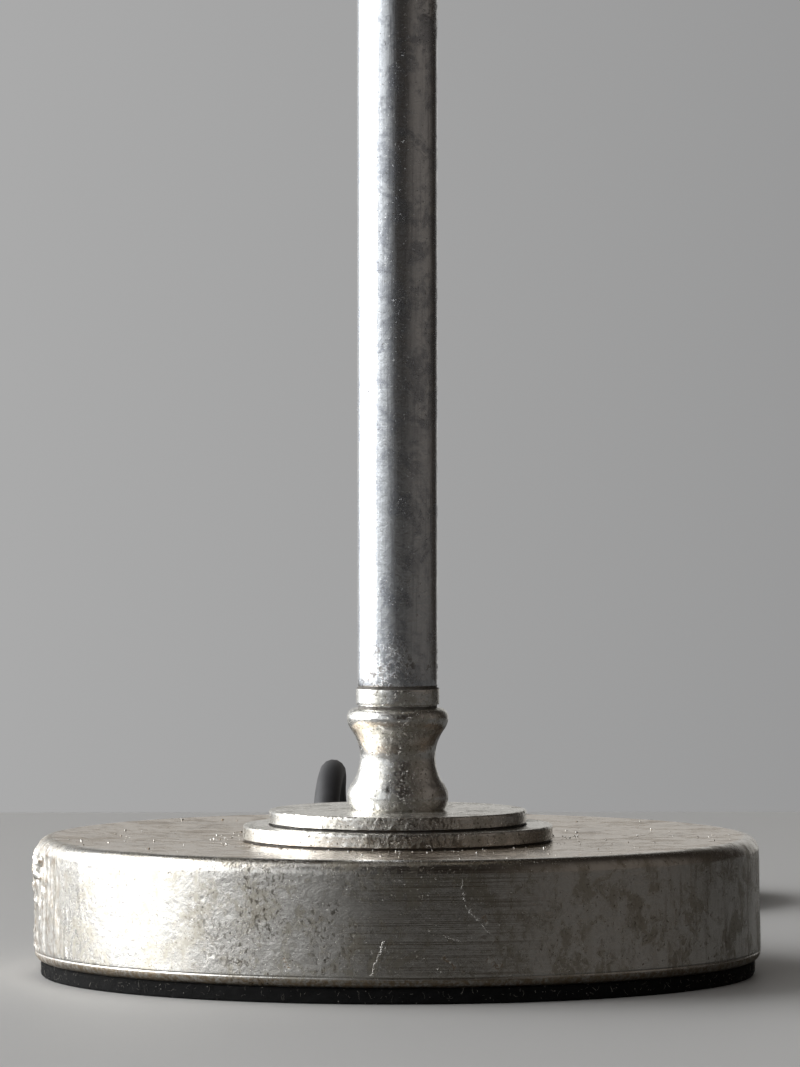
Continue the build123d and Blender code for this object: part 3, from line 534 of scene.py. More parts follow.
def turned(name, outline, columns, finish, relief=None, closed=True, sharp=35, matrix=None):
    # turns a counter-clockwise outline about +Z; relief(points, normals) moves it along its normals
    angles = columns
    if isinstance(columns, int):
        angles = np.arange(columns) * 2 * math.pi / columns
    rows, count = len(outline), len(angles)
    ahead = np.roll(outline, -1, 0) - np.roll(outline, 1, 0)
    if not closed:
        ahead[0] = outline[1] - outline[0]
        ahead[-1] = outline[-1] - outline[-2]
    normal = np.stack([ahead[:, 1], -ahead[:, 0]], 1)
    normal /= np.maximum(np.linalg.norm(normal, axis=1), 1e-9)[:, None]

    def spread(pairs):
        r, z = pairs.T
        level = np.repeat(z[:, None], count, 1)
        return np.stack([np.outer(r, np.cos(angles)), np.outer(r, np.sin(angles)), level], 2).reshape(-1, 3)

    points = spread(outline)
    if relief is not None:
        points = points + spread(normal) * relief(points, spread(normal))[:, None]
    points = points * mm
    if matrix is not None:
        points = points @ np.array(matrix.to_3x3()).T + np.array(matrix.translation)
    faces = []
    for row in range(rows if closed else rows - 1):
        low, high = row * count, (row + 1) % rows * count
        for column in range(count):
            following = (column + 1) % count
            faces.append((low + column, low + following, high + following, high + column))
    made = meshObject(name, points.tolist(), faces, finish)
    if not closed:
        edited(made.data, lambda work: bmesh.ops.remove_doubles(work, verts=work.verts, dist=1e-7))
    shadeSmooth(made, sharp)
    return made


def place(made, body, slot, *nodes):
    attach(made, body)
    if nodes:
        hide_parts(*nodes)
    return made


def alongAxis(origin, direction):
    # a matrix that carries +Z to a direction, for pieces turned about another axis
    turn = Vector(direction).normalized().to_track_quat("Z", "Y").to_matrix().to_4x4()
    return Matrix.Translation(Vector(origin) * mm) @ turn


def wireCurve(name, points, radius, finish):
    curve = bpy.data.curves.new(name, "CURVE")
    curve.dimensions = "3D"
    curve.bevel_depth = radius * mm
    curve.bevel_resolution = 5
    curve.use_fill_caps = True
    curve.resolution_u = 10
    spline = curve.splines.new("NURBS")
    spline.points.add(len(points) - 1)
    for point, (x, y, z) in zip(spline.points, points):
        point.co = (x * mm, y * mm, z * mm, 1)
    spline.order_u = 3
    spline.use_endpoint_u = True
    curve.materials.append(finishes[finish])
    return linked(name, curve)


def asMesh(made, name):
    # the evaluated shape as a plain mesh object
    bpy.context.view_layer.update()
    mesh = bpy.data.meshes.new_from_object(made.evaluated_get(bpy.context.evaluated_depsgraph_get()))
    mesh.name = name
    bpy.data.objects.remove(made)
    return linked(name, mesh)


# patterns made by Geometry Nodes
class Pattern(Nodes):
    def __init__(self, name, floats, others):
        tree = bpy.data.node_groups.new(name, "GeometryNodeTree")
        super().__init__(tree)
        kinds = {"Host": "Geometry", **dict.fromkeys(floats, "Float"), **others, "Finish": "Material"}
        for key, kind in kinds.items():
            tree.interface.new_socket(key, in_out="INPUT", socket_type="NodeSocket" + kind)
        tree.interface.new_socket("Result", in_out="OUTPUT", socket_type="NodeSocketGeometry")
        self.given = tree.nodes.new("NodeGroupInput")
        self.result = tree.nodes.new("NodeGroupOutput")

    def size(self, name):
        return Signal(self, self.given.outputs[name])

    def circle(self, resolution, radius=1.0):
        return self.node("GeometryNodeCurvePrimitiveCircle", {"Resolution": resolution, "Radius": radius})

    def end(self, spots, shape, turn, sized, lift=(0.0, 0.0, 0.0)):
        # the shape on every spot, made real and given its finish
        joined = {"Points": spots, "Instance": shape, "Scale": sized}
        if turn:
            joined["Rotation"] = turn
        row = self.node("GeometryNodeInstanceOnPoints", joined)
        row = self.node("GeometryNodeTransform", {"Geometry": row, "Translation": lift})
        real = self.node("GeometryNodeRealizeInstances", {0: row})
        smooth = self.node("GeometryNodeSetShadeSmooth", {0: real})
        done = self.node("GeometryNodeSetMaterial", {0: smooth, "Material": self.size("Finish")})
        self.join(done, self.result.inputs[0])

    def grow(self, name, finish, values, host=None):
        host = host or linked("host", bpy.data.meshes.new("host"))
        modifier = host.modifiers.new("pattern", "NODES")
        modifier.node_group = self.tree
        values = {**values, "Finish": finishes[finish]}
        for item in self.tree.interface.items_tree:
            if item.in_out == "INPUT" and item.name in values:
                modifier[item.identifier] = values[item.name]
        return asMesh(host, name)


def stitchPattern():
    # stitches in a ring, each a short plump bead in line with the ring
    pattern = Pattern("stitchRing", ["Radius", "Height", "Length", "Thickness"], {"Count": "Int"})
    ring = {"Curve": pattern.circle(256, pattern.size("Radius")), "Count": pattern.size("Count")}
    spots = pattern.node("GeometryNodeCurveToPoints", ring)
    bead = pattern.node("GeometryNodeMeshUVSphere", {"Segments": 8, "Rings": 5, "Radius": 1.0})
    shape = pattern.vector(pattern.size("Thickness"), pattern.size("Thickness"), pattern.size("Length"))
    pattern.end(spots, bead, spots.other("Rotation"), shape, pattern.vector(z=pattern.size("Height")))
    return pattern


def ribPattern():
    # rings in a row along +Z, each a little smaller than the last
    pattern = Pattern("ribRow", ["Step", "Radius", "Taper", "Thickness"], {"Count": "Int"})
    row = {"Count": pattern.size("Count"), "Offset": pattern.vector(z=pattern.size("Step"))}
    spots = pattern.node("GeometryNodeMeshLine", row)
    radius = pattern.size("Radius") - pattern.node("GeometryNodeInputIndex", {}) * pattern.size("Taper")
    thin = pattern.size("Thickness") / pattern.size("Radius")
    section = {"Geometry": pattern.circle(8), "Scale": pattern.vector(thin, thin, thin)}
    section = pattern.node("GeometryNodeTransform", section)
    ring = pattern.node("GeometryNodeCurveToMesh", {"Curve": pattern.circle(48), "Profile Curve": section})
    pattern.end(spots, ring, None, pattern.vector(radius, radius, radius))
    return pattern


def scatterPattern(name, shapeOf):
    # shapes strewn over the host's faces, turned and sized at random
    pattern = Pattern(name, ["Density"], {"Small": "Vector", "Large": "Vector", "Seed": "Int"})
    spread = {key: pattern.size(key) for key in ("Density", "Seed")}
    spread["Mesh"] = pattern.size("Host")
    spots = pattern.node("GeometryNodeDistributePointsOnFaces", spread, distribute_method="RANDOM")

    def drawn(low, high, seed):
        limits = {0: low, 1: high, "Seed": seed}
        return pattern.node("FunctionNodeRandomValue", limits, data_type="FLOAT_VECTOR")

    turn = drawn((0.0, 0.0, 0.0), (6.28, 6.28, 6.28), 3)
    pattern.end(spots, shapeOf(pattern), turn, drawn(pattern.size("Small"), pattern.size("Large"), 5))
    return pattern


def flakeShape(pattern):
    return pattern.node("GeometryNodeMeshIcoSphere", {"Radius": 1.0, "Subdivisions": 1})


def fibreShape(pattern):
    ends = {"Start": (-1.0, 0.0, 0.0), "Middle": (0.0, 0.9, 0.2), "End": (1.0, 0.0, 0.1)}
    bow = pattern.node("GeometryNodeCurveQuadraticBezier", {"Resolution": 5, **ends})
    thread = {"Curve": bow, "Profile Curve": pattern.circle(4, 0.04), "Fill Caps": True}
    return pattern.node("GeometryNodeCurveToMesh", thread)


stitches = stitchPattern()
ribs = ribPattern()
looseLeaf = scatterPattern("leafFlakes", flakeShape)
looseFibres = scatterPattern("feltFibres", fibreShape)
print("patterns ready")

# camera, at the photograph's place and angle
cameraLook = {"place": (0.00064, -2.0, 0.17128), "pitchDown": 1.765, "roll": 0.04}
cameraLook["focal"] = 8037.7 / 1067  # in picture heights
camera = linked("photoCamera", bpy.data.cameras.new("photoCamera"))
camera.data.sensor_width = 36.0
camera.data.lens = cameraLook["focal"] * camera.data.sensor_width
camera.data.clip_end = 60.0
camera.location = cameraLook["place"]
camera.rotation_euler = (math.radians(90 - cameraLook["pitchDown"]), math.radians(cameraLook["roll"]), 0)
scene.camera = camera

# the mains lead: over a hump behind the base, then two layers of coil, then the plug
leadLook = {"radius": 3.4, "coilRadius": 30.2, "halfTurns": 6, "pitch": 7.35, "pointsPerHalf": 8}
leadRoute = [
    (-15.64, 111.30, 12.45), (-18.06, 128.53, 12.45), (-19.4, 144.4, 19.4), (-19.4, 155.8, 32.0),
    (-18.2, 171.3, 39.3), (-17.3, 188.8, 39.3), (-17.9, 206.2, 31.0), (-15.7, 219.4, 15.2),
    (-7.6, 236.6, 3.4), (3.6, 256.0, 3.4),
]
tailRoute = [(80.24, 194.44, 10.75), (68.75, 184.80, 8.78), (54.65, 179.67, 6.8), (39.65, 179.67, 6.8)]


def coilPoints():
    # half turns that spiral in on the table, climb to the next layer and spiral out again
    count, pitch = leadLook["halfTurns"], leadLook["pitch"]
    perHalf = leadLook["pointsPerHalf"]
    straight = 2 * leadLook["radius"]
    spot = Vector(leadRoute[-1])
    forward = (spot - Vector(leadRoute[-2])).normalized()
    spot = spot + forward * straight
    across = Vector((forward.y, -forward.x, 0))
    inward = [leadLook["coilRadius"] + step * pitch / 2 for step in range(count - 1, -1, -1)]
    radii = inward + [leadLook["coilRadius"] - pitch / 2] + inward[::-1]
    swell = 2 / (1 + math.cos(math.pi / perHalf / 2))  # the spline runs inside its points
    found = [tuple(spot)]
    for index, radius in enumerate(radii):
        climb = pitch if index == count else 0
        centre = spot + across * radius
        for step in range(1, perHalf + 1):
            share = (step - 0.5) / perHalf
            out = forward * math.sin(math.pi * share) - across * math.cos(math.pi * share)
            found.append(tuple(centre + out * radius * swell + Vector((0, 0, climb * share))))
        spot = spot + across * 2 * radius + Vector((0, 0, climb))
        forward, across = -forward, -across
    return found + [tuple(spot), tuple(spot + forward * straight)]


leadPoints = leadRoute + coilPoints() + tailRoute
lead = wireCurve("mains_lead", leadPoints, leadLook["radius"], "leadSheath")
place(lead, "lamp", "lead_sheath", "lead_free", "lead_coil", "lead_tail")
print("lead:", len(leadPoints), "points")

# plug; sections of the body are (distance along, half width, half thickness)
plugLook = {
    "tip": (39.65, 179.67, 6.8),
    "relief": 16.0,
    "sections": [
        (0.0, 5.4, 5.3), (3.0, 8.0, 5.9), (6.3, 10.6, 6.4), (11.0, 13.4, 6.8), (15.0, 16.2, 6.8),
        (18.5, 17.5, 6.8), (25.0, 17.5, 6.8), (33.0, 17.5, 6.8), (34.0, 17.5, 6.8),
    ],
    "square": (0.42, 0.55),
    "around": 40,
    "pinLength": 19.0,
    "pinSpacing": 18.6,
    "pinRadius": 2.0,
}
plugX, plugY, plugZ = plugLook["tip"]
plugStart = plugX - plugLook["relief"]


def plugBody():
    count = plugLook["around"]
    vertices, faces = [], []
    for along, wide, tall in plugLook["sections"]:
        for step in range(count):
            angle = 2 * math.pi * step / count
            c, s = math.cos(angle), math.sin(angle)
            y = plugY + wide * math.copysign(abs(c) ** plugLook["square"][0], c)
            z = plugZ + tall * math.copysign(abs(s) ** plugLook["square"][1], s)
            vertices.append(((plugStart - along) * mm, y * mm, z * mm))
    last = (len(plugLook["sections"]) - 1) * count
    for row in range(0, last, count):
        for step in range(count):
            a, b = row + step, row + (step + 1) % count
            faces.append((a, a + count, b + count, b))
    faces.append(tuple(range(count)))
    faces.append(tuple(last + step for step in range(count - 1, -1, -1)))
    made = meshObject("plug_grip", vertices, faces, "plugBlack")
    shadeSmooth(made, 0)
    edited(made.data, lambda work: bmesh.ops.recalc_face_normals(work, faces=work.faces))
    bevel = made.modifiers.new("edges", "BEVEL")
    bevel.width = 0.7 * mm
    bevel.segments = 3
    bevel.limit_method = "ANGLE"
    bevel.angle_limit = math.radians(50)
    made = asMesh(made, "plug_grip")
    shadeSmooth(made, 40)
    return made


def ribRow(name, count, step, radius, taper, thick, axis, start):
    sizes = {"Step": step * mm, "Radius": radius * mm, "Taper": taper * mm, "Thickness": thick * mm}
    made = ribs.grow(name, "plugBlack", {"Count": count, **sizes})
    made.data.transform(axis @ Matrix.Translation((0, 0, start * mm)))
    return place(made, "lamp", "plug_black")


def cone(name, corners, columns, matrix, *nodes):
    made = turned(name, outlineOf(corners, False), columns, "plugBlack", closed=False, matrix=matrix)
    return place(made, "lamp", "plug_black", *nodes)


plugGrip = place(plugBody(), "lamp", "plug_black", "plug_body")
plugAxis = alongAxis(plugLook["tip"], (-1, 0, 0))
plugCone = [(0, 0, 0, 2), (4.1, 0, 0.3, 2), (4.5, 13, 2, 2), (5.3, 17.5, 0, 2), (0, 17.5, 0, 2)]
plugRelief = cone("plug_relief", plugCone, 40, plugAxis)
plugRibs = ribRow("plug_ribs", 5, 2.6, 4.35, -0.05, 0.55, plugAxis, 2.0)
for side, name in ((-1, "plug_pin_left"), (1, "plug_pin_right")):
    r, length = plugLook["pinRadius"], plugLook["pinLength"]
    foot = (plugStart - plugLook["sections"][-1][0], plugY + side * plugLook["pinSpacing"] / 2, plugZ)
    pinOutline = outlineOf([(0, 0, 0, 4), (r, 0, 0, 4), (r, length, 1.2, 1), (0, length, 0, 1)], False)
    pin = turned(name, pinOutline, 32, "pinNickel", closed=False, matrix=alongAxis(foot, (-1, 0, 0)))
    place(pin, "lamp", "pin_nickel", "plug_pins")

# outlet: flange on the cover and a ribbed, tapered relief
outletLook = {
    "seat": 90.397,
    "height": 12.45,
    "turn": 98.0,
    "behind": 8.0,
    "corners": [
        (0, -8, 0, 4), (4.6, -8, 0.4, 4), (4.6, 0, 0, 2), (6.2, 0, 0.4, 2), (6.2, 2.2, 0.7, 2),
        (4.95, 2.2, 0.3, 2), (4.1, 22, 0.3, 2), (0, 22, 0, 2),
    ],
}
outletTurn = math.radians(outletLook["turn"])
outletWay = Vector((math.cos(outletTurn), math.sin(outletTurn), 0))
outletAxis = alongAxis(outletWay * outletLook["seat"] + Vector((0, 0, outletLook["height"])), outletWay)
cone("lead_relief", outletLook["corners"], 48, outletAxis, "lead_outlet")
ribRow("lead_relief_ribs", 6, 3.0, 4.85, 0.13, 0.6, outletAxis, 4.2)
innerPoints = []
for reach in (outletLook["seat"] - outletLook["behind"], 30, 7):
    innerPoints.append((outletWay.x * reach, outletWay.y * reach, outletLook["height"]))
innerPoints += [(0, 0, 14.5), (0, 0, 21), (0, 0, 60), (0, 0, 453.2)]
innerLead = wireCurve("lead_inside", innerPoints, leadLook["radius"], "leadSheath")
place(asMesh(innerLead, "lead_inside"), "lamp", "lead_sheath", "inner_lead")
print("lead, outlet and plug done")

# felt pad
padLook = {"radius": 88.8, "top": 3.86, "edge": 0.7, "fibresLow": 1.2, "fibresHigh": 3.4}


def padRelief(points, normals):
    flat = np.abs(normals[:, 2])
    return (1 - flat) * ragged(points, 1.9, 11) * 0.30 + flat * (points[:, 2] > 2) * -0.02


padCorners = [
    (0, 0, 0, 8), (padLook["radius"], 0, padLook["edge"], 0.8),
    (padLook["radius"], padLook["top"], padLook["edge"], 6), (0, padLook["top"], 0, 8),
]
pad = turned("felt_pad", outlineOf(padCorners, False), 420, "feltBlack", padRelief, closed=False)
place(pad, "lamp", "felt", "base_pad")


def band(radius, low, high, count):
    # an open strip, only used as a host to scatter on
    ring = arc((0, 0), radius, 0, 2 * math.pi, count)[:-1]
    points = [(x * mm, y * mm, z * mm) for z in (low, high) for x, y in ring]
    faces = []
    for step in range(count):
        following = (step + 1) % count
        faces.append((step, following, count + following, count + step))
    return meshObject("host", points, faces, "feltBlack")


fibreSizes = {"Small": (0.00035, 0.00030, 0.00035), "Large": (0.0010, 0.0007, 0.0010)}
fibres = looseFibres.grow(
    "felt_fibres", "looseFibre",
    {"Density": 320000.0, "Seed": 4, **fibreSizes},
    band(padLook["radius"] + 0.05, padLook["fibresLow"], padLook["fibresHigh"], 240),
)
place(fibres, "lamp", "felt")
print("pad:", len(pad.data.polygons), "faces, fibres:", len(fibres.data.polygons))

# base cover: dished top, rounded edge, leaning side, rolled bottom edge
coverLook = {
    "radius": 90.4,
    "edge": 3.4,
    "roll": 2.15,
    "wall": 1.2,
    "inside": 87.4,
    "dish": 39.4,
    "fineStep": 0.37,  # degrees, at the front and left
    "coarseStep": 2.0,
    "crust": 2.2,
    "lean": math.tan(math.radians(1.2)),
}
# loose leaf: inner and outer (radius, height), flakes per square metre, seed
flakeLook = {
    "leaf_flakes": ((48.0, 33.45), (84.0, 34.35), 6500.0, 9),
    "disc_flakes": ((39.4, 33.25), (48.0, 33.45), 52000.0, 10),
}


def coverCorners():
    radius, wall, inside, dish = (coverLook[key] for key in ("radius", "wall", "inside", "dish"))
    seat, rim, foot = heights["seat"], heights["rim"], heights["padTop"]

    def side(z):
        return radius - (z - 6.1) * coverLook["lean"]

    return [
        (bore, seat - wall, 0, 10), (dish, seat - wall, 0, 12), (side(rim) - wall, seat, 2.2, 4),
        (side(5.8) - wall, 5.8, 0, 2), (inside, 5.8, 0, 2), (inside, foot, 0, 1.5),
        (radius, foot, coverLook["roll"], 0.5), (radius, 6.15, 0.1, 0.25),
        (radius - 0.09, 6.4, 0.1, 0.25), (radius, 6.75, 0.1, 0.42),
        (side(rim), rim, coverLook["edge"], 1.35), (dish, seat, 0, 10), (bore, seat, 0, 2),
    ]


def coverRelief(points, normals):
    x, y, z = points.T
    reach = np.hypot(x, y)
    shown = ramp(outward(points, normals) + normals[:, 2] * 90, 5, 30)
    side = ramp(reach, 88.5, 89.4) * (1 - ramp(z, 30.5, 32.5)) * ramp(z, 6.4, 7.4)
    low = points * np.array([1, 1, 0.16])
    leaf = ragged(points, 9.0, 21) * 0.022 + ragged(points, 1.6, 27, 2) * 0.005
    runs = field(low, 1.6, 31) * 0.012
    crests = 0.5 - np.abs(ragged(points * np.array([1, 1, 0.5]), 3.6, 41))
    lumps = np.maximum(0, crests) * 0.8 * ramp(field(points, 6.0, 47), -0.5, 0.3)
    lumps += np.maximum(0, ragged(points * np.array([1, 1, 0.6]), 1.9, 43) - 0.3) * 0.7
    left = ramp(-x / reach, 0.93, 0.995) * side
    crust = left * (0.35 + 0.65 * ramp(z, 14, 27)) * lumps * coverLook["crust"]
    drips = np.maximum(0, ragged(low, 2.0, 51) - 0.25)
    crust += ramp(-x / reach, 0.80, 0.95) * side * drips * 0.45
    chips = np.maximum(0, ragged(points, 1.1, 61) - 0.95) * 0.3
    return shown * (leaf + runs * side + crust - chips)


coverAngles = [np.arange(-195, 5, coverLook["fineStep"]), np.arange(5, 165, coverLook["coarseStep"])]
coverAngles = np.radians(np.concatenate(coverAngles))
cover = turned("base_shell", outlineOf(coverCorners()), coverAngles, "silverBase", coverRelief)
place(cover, "lamp", "aged_silver", "base_cover")
print("cover:", len(cover.data.polygons), "faces")
flakeSizes = {"Small": (0.00010, 0.00008, 0.00005), "Large": (0.00055, 0.00040, 0.00013)}
for name, (inner, outer, density, seed) in flakeLook.items():
    top = outlineOf([(*inner, 0, 4), (*outer, 0, 4)], False)
    host = turned("host", top, 120, "silverBase", closed=False)
    flakes = looseLeaf.grow(name, "silverFlakes", {"Density": density, "Seed": seed, **flakeSizes}, host)
    place(flakes, "lamp", "aged_silver")


# discs, necks, ferrules and pole
def pitted(amount, size, seed, rim=0.0):
    # small dents everywhere, deeper where the outline turns a corner
    def relief(points, normals):
        corner = 1 - np.abs(np.abs(normals[:, 2]) - 0.5) * 2
        dents = np.maximum(0, ragged(points, size, seed) - 0.35)
        return ragged(points, size * 4, seed + 7) * amount * 0.5 - dents * amount - corner * dents * rim

    return relief


def discRelief(seed):
    # the edges are crumpled at the front
    dents = pitted(0.05, 0.9, seed, 0.35)

    def relief(points, normals):
        reach = np.maximum(np.hypot(points[:, 0], points[:, 1]), 1)
        front = ramp(-points[:, 1] / reach, 0.75, 0.97) * ramp(reach, 29, 31)
        edge = ramp(outward(points, normals) / reach, 0.1, 0.6)
        folds = ragged(points * np.array([1, 1, 0.5]), 1.3, seed + 3)
        return dents(points, normals) + folds * 0.10 * front * edge * ramp(folds, -0.6, 0.6)

    return relief


def discOutline(joint, top):
    radius, low, high = discRadii[joint], heights[joint], heights[top]
    corners = [(bore, low, 0, 8), (radius - 0.7, low, 0, 0.5), (radius - 0.7, low + 0.3, 0, 0.3)]
    corners += [(radius, low + 0.55, 0.15, 0.4), (radius, high, 0.5, 1.2), (bore, high, 0, 2)]
    return outlineOf(corners)


neckLook = {"waist": 9.4, "bead": 12.65, "hollow": 11.7, "foot": 3.1, "span": 20.0, "lip": 2.2}
neckLook["shoulder"] = 2.3
neckLook["tall"] = neckLook["foot"] + neckLook["span"] + neckLook["lip"]


def neckOutline():
    # two beads and a hollow waist, all arcs tangent to each other
    waist, widest, hollow, foot = (neckLook[key] for key in ("waist", "bead", "hollow", "foot"))
    half = neckLook["span"] / 2
    reach = waist + hollow - widest
    bead = (reach**2 + half**2 - hollow**2) / (2 * (hollow - reach))
    centre = widest - bead
    touch = math.atan2(half, waist + hollow - centre)
    upper, top = foot + neckLook["span"], neckLook["tall"]
    points = [(bore, 0.0), (8.0, 0.0)]
    points += arc((centre, foot), bead, math.asin(-foot / bead), touch, 12)
    points += arc((waist + hollow, foot + half), -hollow, touch, -touch, 24)[1:-1]
    points += arc((centre, upper), bead, -touch, 0, 11)
    for angle in np.radians(90) * np.arange(1, 9) / 8:
        inward = neckLook["shoulder"] * (1 - math.cos(angle))
        points.append((widest - inward, upper + neckLook["lip"] * math.sin(angle)))
    points += [(8.0, top), (bore, top), (bore, top / 2)]
    return np.array(points)


# the ferrule's collar, then its spigot inside the pole
ferruleLook = {
    "tall": 5.6,
    "corners": [
        (bore, 0, 0, 3), (9.8, 0, 0, 0.5), (9.8, 0.9, 0, 0.4), (10.35, 0.9, 0.25, 0.6),
        (10.35, 5.0, 0.25, 0.4), (9.8, 5.0, 0, 0.4), (9.8, 5.6, 0, 1), (8.45, 5.6, 0, 4),
        (8.45, 12.6, 0, 3), (bore, 12.6, 0, 6),
    ],
}


def upended(outline, foot, height):
    # the same outline standing on its head
    flipped = outline[::-1].copy()
    flipped[:, 1] = foot + height - flipped[:, 1]
    return flipped


tubeWall = 1.2


def tubeOutline(radius, foot, top, rounding, step, insideStep):
    low, high, inside = heights[foot], heights[top], radius - tubeWall
    corners = [(inside, low, 0, 1), (radius, low, 0.25, step), (radius, high, rounding, 1)]
    return outlineOf([*corners, (inside, high, 0, insideStep)])


# drip cup, candle sleeve and lampholder cap
cupLook = {"radius": 31.0, "rise": 6.5, "wall": 1.6, "foot": 11.5, "footHeight": 3.0}


def cupOutline():
    radius, rise, wall = cupLook["radius"], cupLook["rise"], cupLook["wall"]
    foot, low = cupLook["foot"], heights["cup"]
    floor = low + cupLook["footHeight"]
    return outlineOf(
        [
            (bore, low, 0, 4), (foot, low, 0.4, 1), (foot, floor - wall, 0.3, 1.5),
            (radius - rise, floor - wall, rise, 1), (radius, floor + rise - wall, 0.5, 1),
            (radius, floor + rise, 0.5, 1), (radius - wall, floor + rise, 0.4, 1),
            (radius - rise - wall / 2, floor, rise, 1.5), (bore, floor, 0, 2),
        ]
    )


bellLook = {"outer": 19.6, "inner": 14.2, "wall": 1.3, "band": 5.5}


def bellOutline():
    # a bell that leaves the sleeve flat and ends in a straight band
    low, top = heights["sleeveTop"], heights["holderFoot"]
    wall, outer = bellLook["wall"], bellLook["outer"]

    def side(inset, foot):
        wide, tall = outer - bellLook["inner"], top - bellLook["band"] - foot
        radius = (wide**2 + tall**2) / (2 * wide)
        sweep = math.asin(min(1.0, tall / radius))
        return arc((outer - inset - radius, foot + tall), radius, -sweep, 0, 12)

    points = [(bore, low), (10.0, low)] + side(0, low)
    points += [(outer, top - 0.3), (outer - 0.3, top), (outer - wall, top)]
    points += side(wall, low + wall)[::-1] + [(9.0, low + wall), (bore, low + wall)]
    return np.array(points)


neck, ferrule = neckOutline(), outlineOf(ferruleLook["corners"])
outlines = {
    "disc_lower": discOutline("seat", "lowerDiscTop"),
    "disc_upper": discOutline("lowerDiscTop", "upperDiscTop"),
    "neck_lower": neck + (0, heights["upperDiscTop"]),
    "neck_upper": upended(neck, heights["topNeckFoot"], neckLook["tall"]),
    "ferrule_lower": ferrule + (0, heights["neckTop"]),
    "ferrule_upper": upended(ferrule, heights["poleTop"], ferruleLook["tall"]),
    "pole_tube": tubeOutline(10.0, "poleFoot", "poleTop", 0.25, 1.6, 20),
    "cup_dish": cupOutline(),
    "sleeve_tube": tubeOutline(12.5, "sleeveFoot", "sleeveTop", 0.3, 1.5, 8),
    "holder_bell": bellOutline(),
}
# node, columns, finish and relief
silverPieces = {
    "disc_lower": ("lower_disc", 480, "silverDiscs", discRelief(71)),
    "disc_upper": ("upper_disc", 480, "silverDiscs", discRelief(83)),
    "neck_lower": ("lower_neck", 192, "silverNeck", pitted(0.06, 1.1, 91, 0.1)),
    "neck_upper": ("upper_neck", 144, "silverNeck", pitted(0.05, 1.1, 97, 0.1)),
    "ferrule_lower": ("lower_ferrule", 160, "silverFerrule", pitted(0.05, 0.9, 101, 0.12)),
    "ferrule_upper": ("upper_ferrule", 128, "silverFerrule", pitted(0.05, 0.9, 103, 0.12)),
    "pole_tube": ("pole", 144, "silverPole", pitted(0.03, 1.6, 107, 0.1)),
    "cup_dish": ("drip_cup", 224, "silverNeck", pitted(0.04, 1.2, 109, 0.15)),
    "sleeve_tube": ("candle_sleeve", 144, "silverPole", pitted(0.03, 1.6, 113, 0.1)),
    "holder_bell": ("lampholder_cap", 160, "silverNeck", pitted(0.04, 1.2, 117, 0.1)),
}
for name, (node, columns, finish, relief) in silverPieces.items():
    place(turned(name, outlines[name], columns, finish, relief), "lamp", "aged_silver", node)
print("turned pieces done")

# lampholder barrel with its thread
barrelLook = {"radius": 19.6, "wall": 1.3, "pitch": 2.2, "depth": 0.28, "flange": 25.0, "flangeThick": 2.0}


def threadRelief(low, high, pitch, depth, least):
    def relief(points, normals):
        x, y, z = points.T
        reach = np.hypot(x, y)
        outside = (outward(points, normals) > 0.5 * reach) & (reach > least)
        wave = 0.5 - 0.5 * np.cos(2 * math.pi * (z / pitch - np.arctan2(y, x) / (2 * math.pi)))
        ends = ramp(z, low, low + pitch) * (1 - ramp(z, high - pitch, high))
        return -depth * wave * ends * outside

    return relief


def barrelCorners():
    radius, flange = barrelLook["radius"], barrelLook["flange"]
    foot, seat, top = heights["holderFoot"], heights["shadeSeat"], heights["holderTop"]
    return [
        (radius - barrelLook["wall"], foot, 0, 2), (radius, foot, 0.2, 2),
        (radius, seat - barrelLook["flangeThick"], 0, 1),
        (flange, seat - barrelLook["flangeThick"], 0.4, 1), (flange, seat, 0.4, 1),
        (radius, seat, 0, 0.22), (radius, top, 0.3, 1), (radius - barrelLook["wall"], top, 0.2, 6),
    ]


barrelThread = threadRelief(
    heights["shadeSeat"] + 3, heights["holderTop"] - 0.5, barrelLook["pitch"], barrelLook["depth"], 19
)
barrel = turned("holder_barrel", outlineOf(barrelCorners()), 128, "barrelBlack", barrelThread)
cutter = linked("cutter", bpy.data.meshes.new("cutter"))
drill = {"radius1": 2.62 * mm, "radius2": 2.62 * mm, "depth": 20 * mm, "segments": 32, "cap_ends": True}
drillPlace = Matrix.Translation((20 * mm, 0, heights["switch"] * mm)) @ Matrix.Rotation(math.pi / 2, 4, "Y")
edited(cutter.data, lambda work: bmesh.ops.create_cone(work, matrix=drillPlace, **drill))
barrel.modifiers.new("hole", "BOOLEAN").object = cutter
barrel = asMesh(barrel, "holder_barrel")
bpy.data.objects.remove(cutter)
shadeSmooth(barrel)
place(barrel, "lamp", "barrel_black", "lampholder_body")

# knob of the rotary switch
knobLook = {"radius": 6.5, "length": 16.0, "start": 21.6, "flutes": 20, "depth": 0.45, "bore": 2.58}


def knobRelief(points, normals):
    x, y, z = points.T
    outside = ramp(outward(points, normals), 2.5, 6.0) * (np.hypot(x, y) > 4)
    groove = (0.5 + 0.5 * np.cos(np.arctan2(y, x) * knobLook["flutes"])) ** 2
    ends = ramp(z, 1.2, 2.4) * (1 - ramp(z, knobLook["length"] - 3.0, knobLook["length"] - 1.2))
    return -knobLook["depth"] * groove * outside * ends


knobCorners = [
    (0, 13.2, 0, 1), (knobLook["bore"], 13.2, 0, 2), (knobLook["bore"], 0, 0.2, 1),
    (knobLook["radius"], 0, 0.5, 0.5), (knobLook["radius"], knobLook["length"], 1.8, 0.8),
    (0, knobLook["length"], 0, 1),
]
knobAxis = alongAxis((knobLook["start"], 0, heights["switch"]), (1, 0, 0))
knobOutline = outlineOf(knobCorners, False)
knob = turned("switch_grip", knobOutline, 240, "barrelBlack", knobRelief, closed=False, matrix=knobAxis)
place(knob, "switch", "barrel_black", "switch_knob")

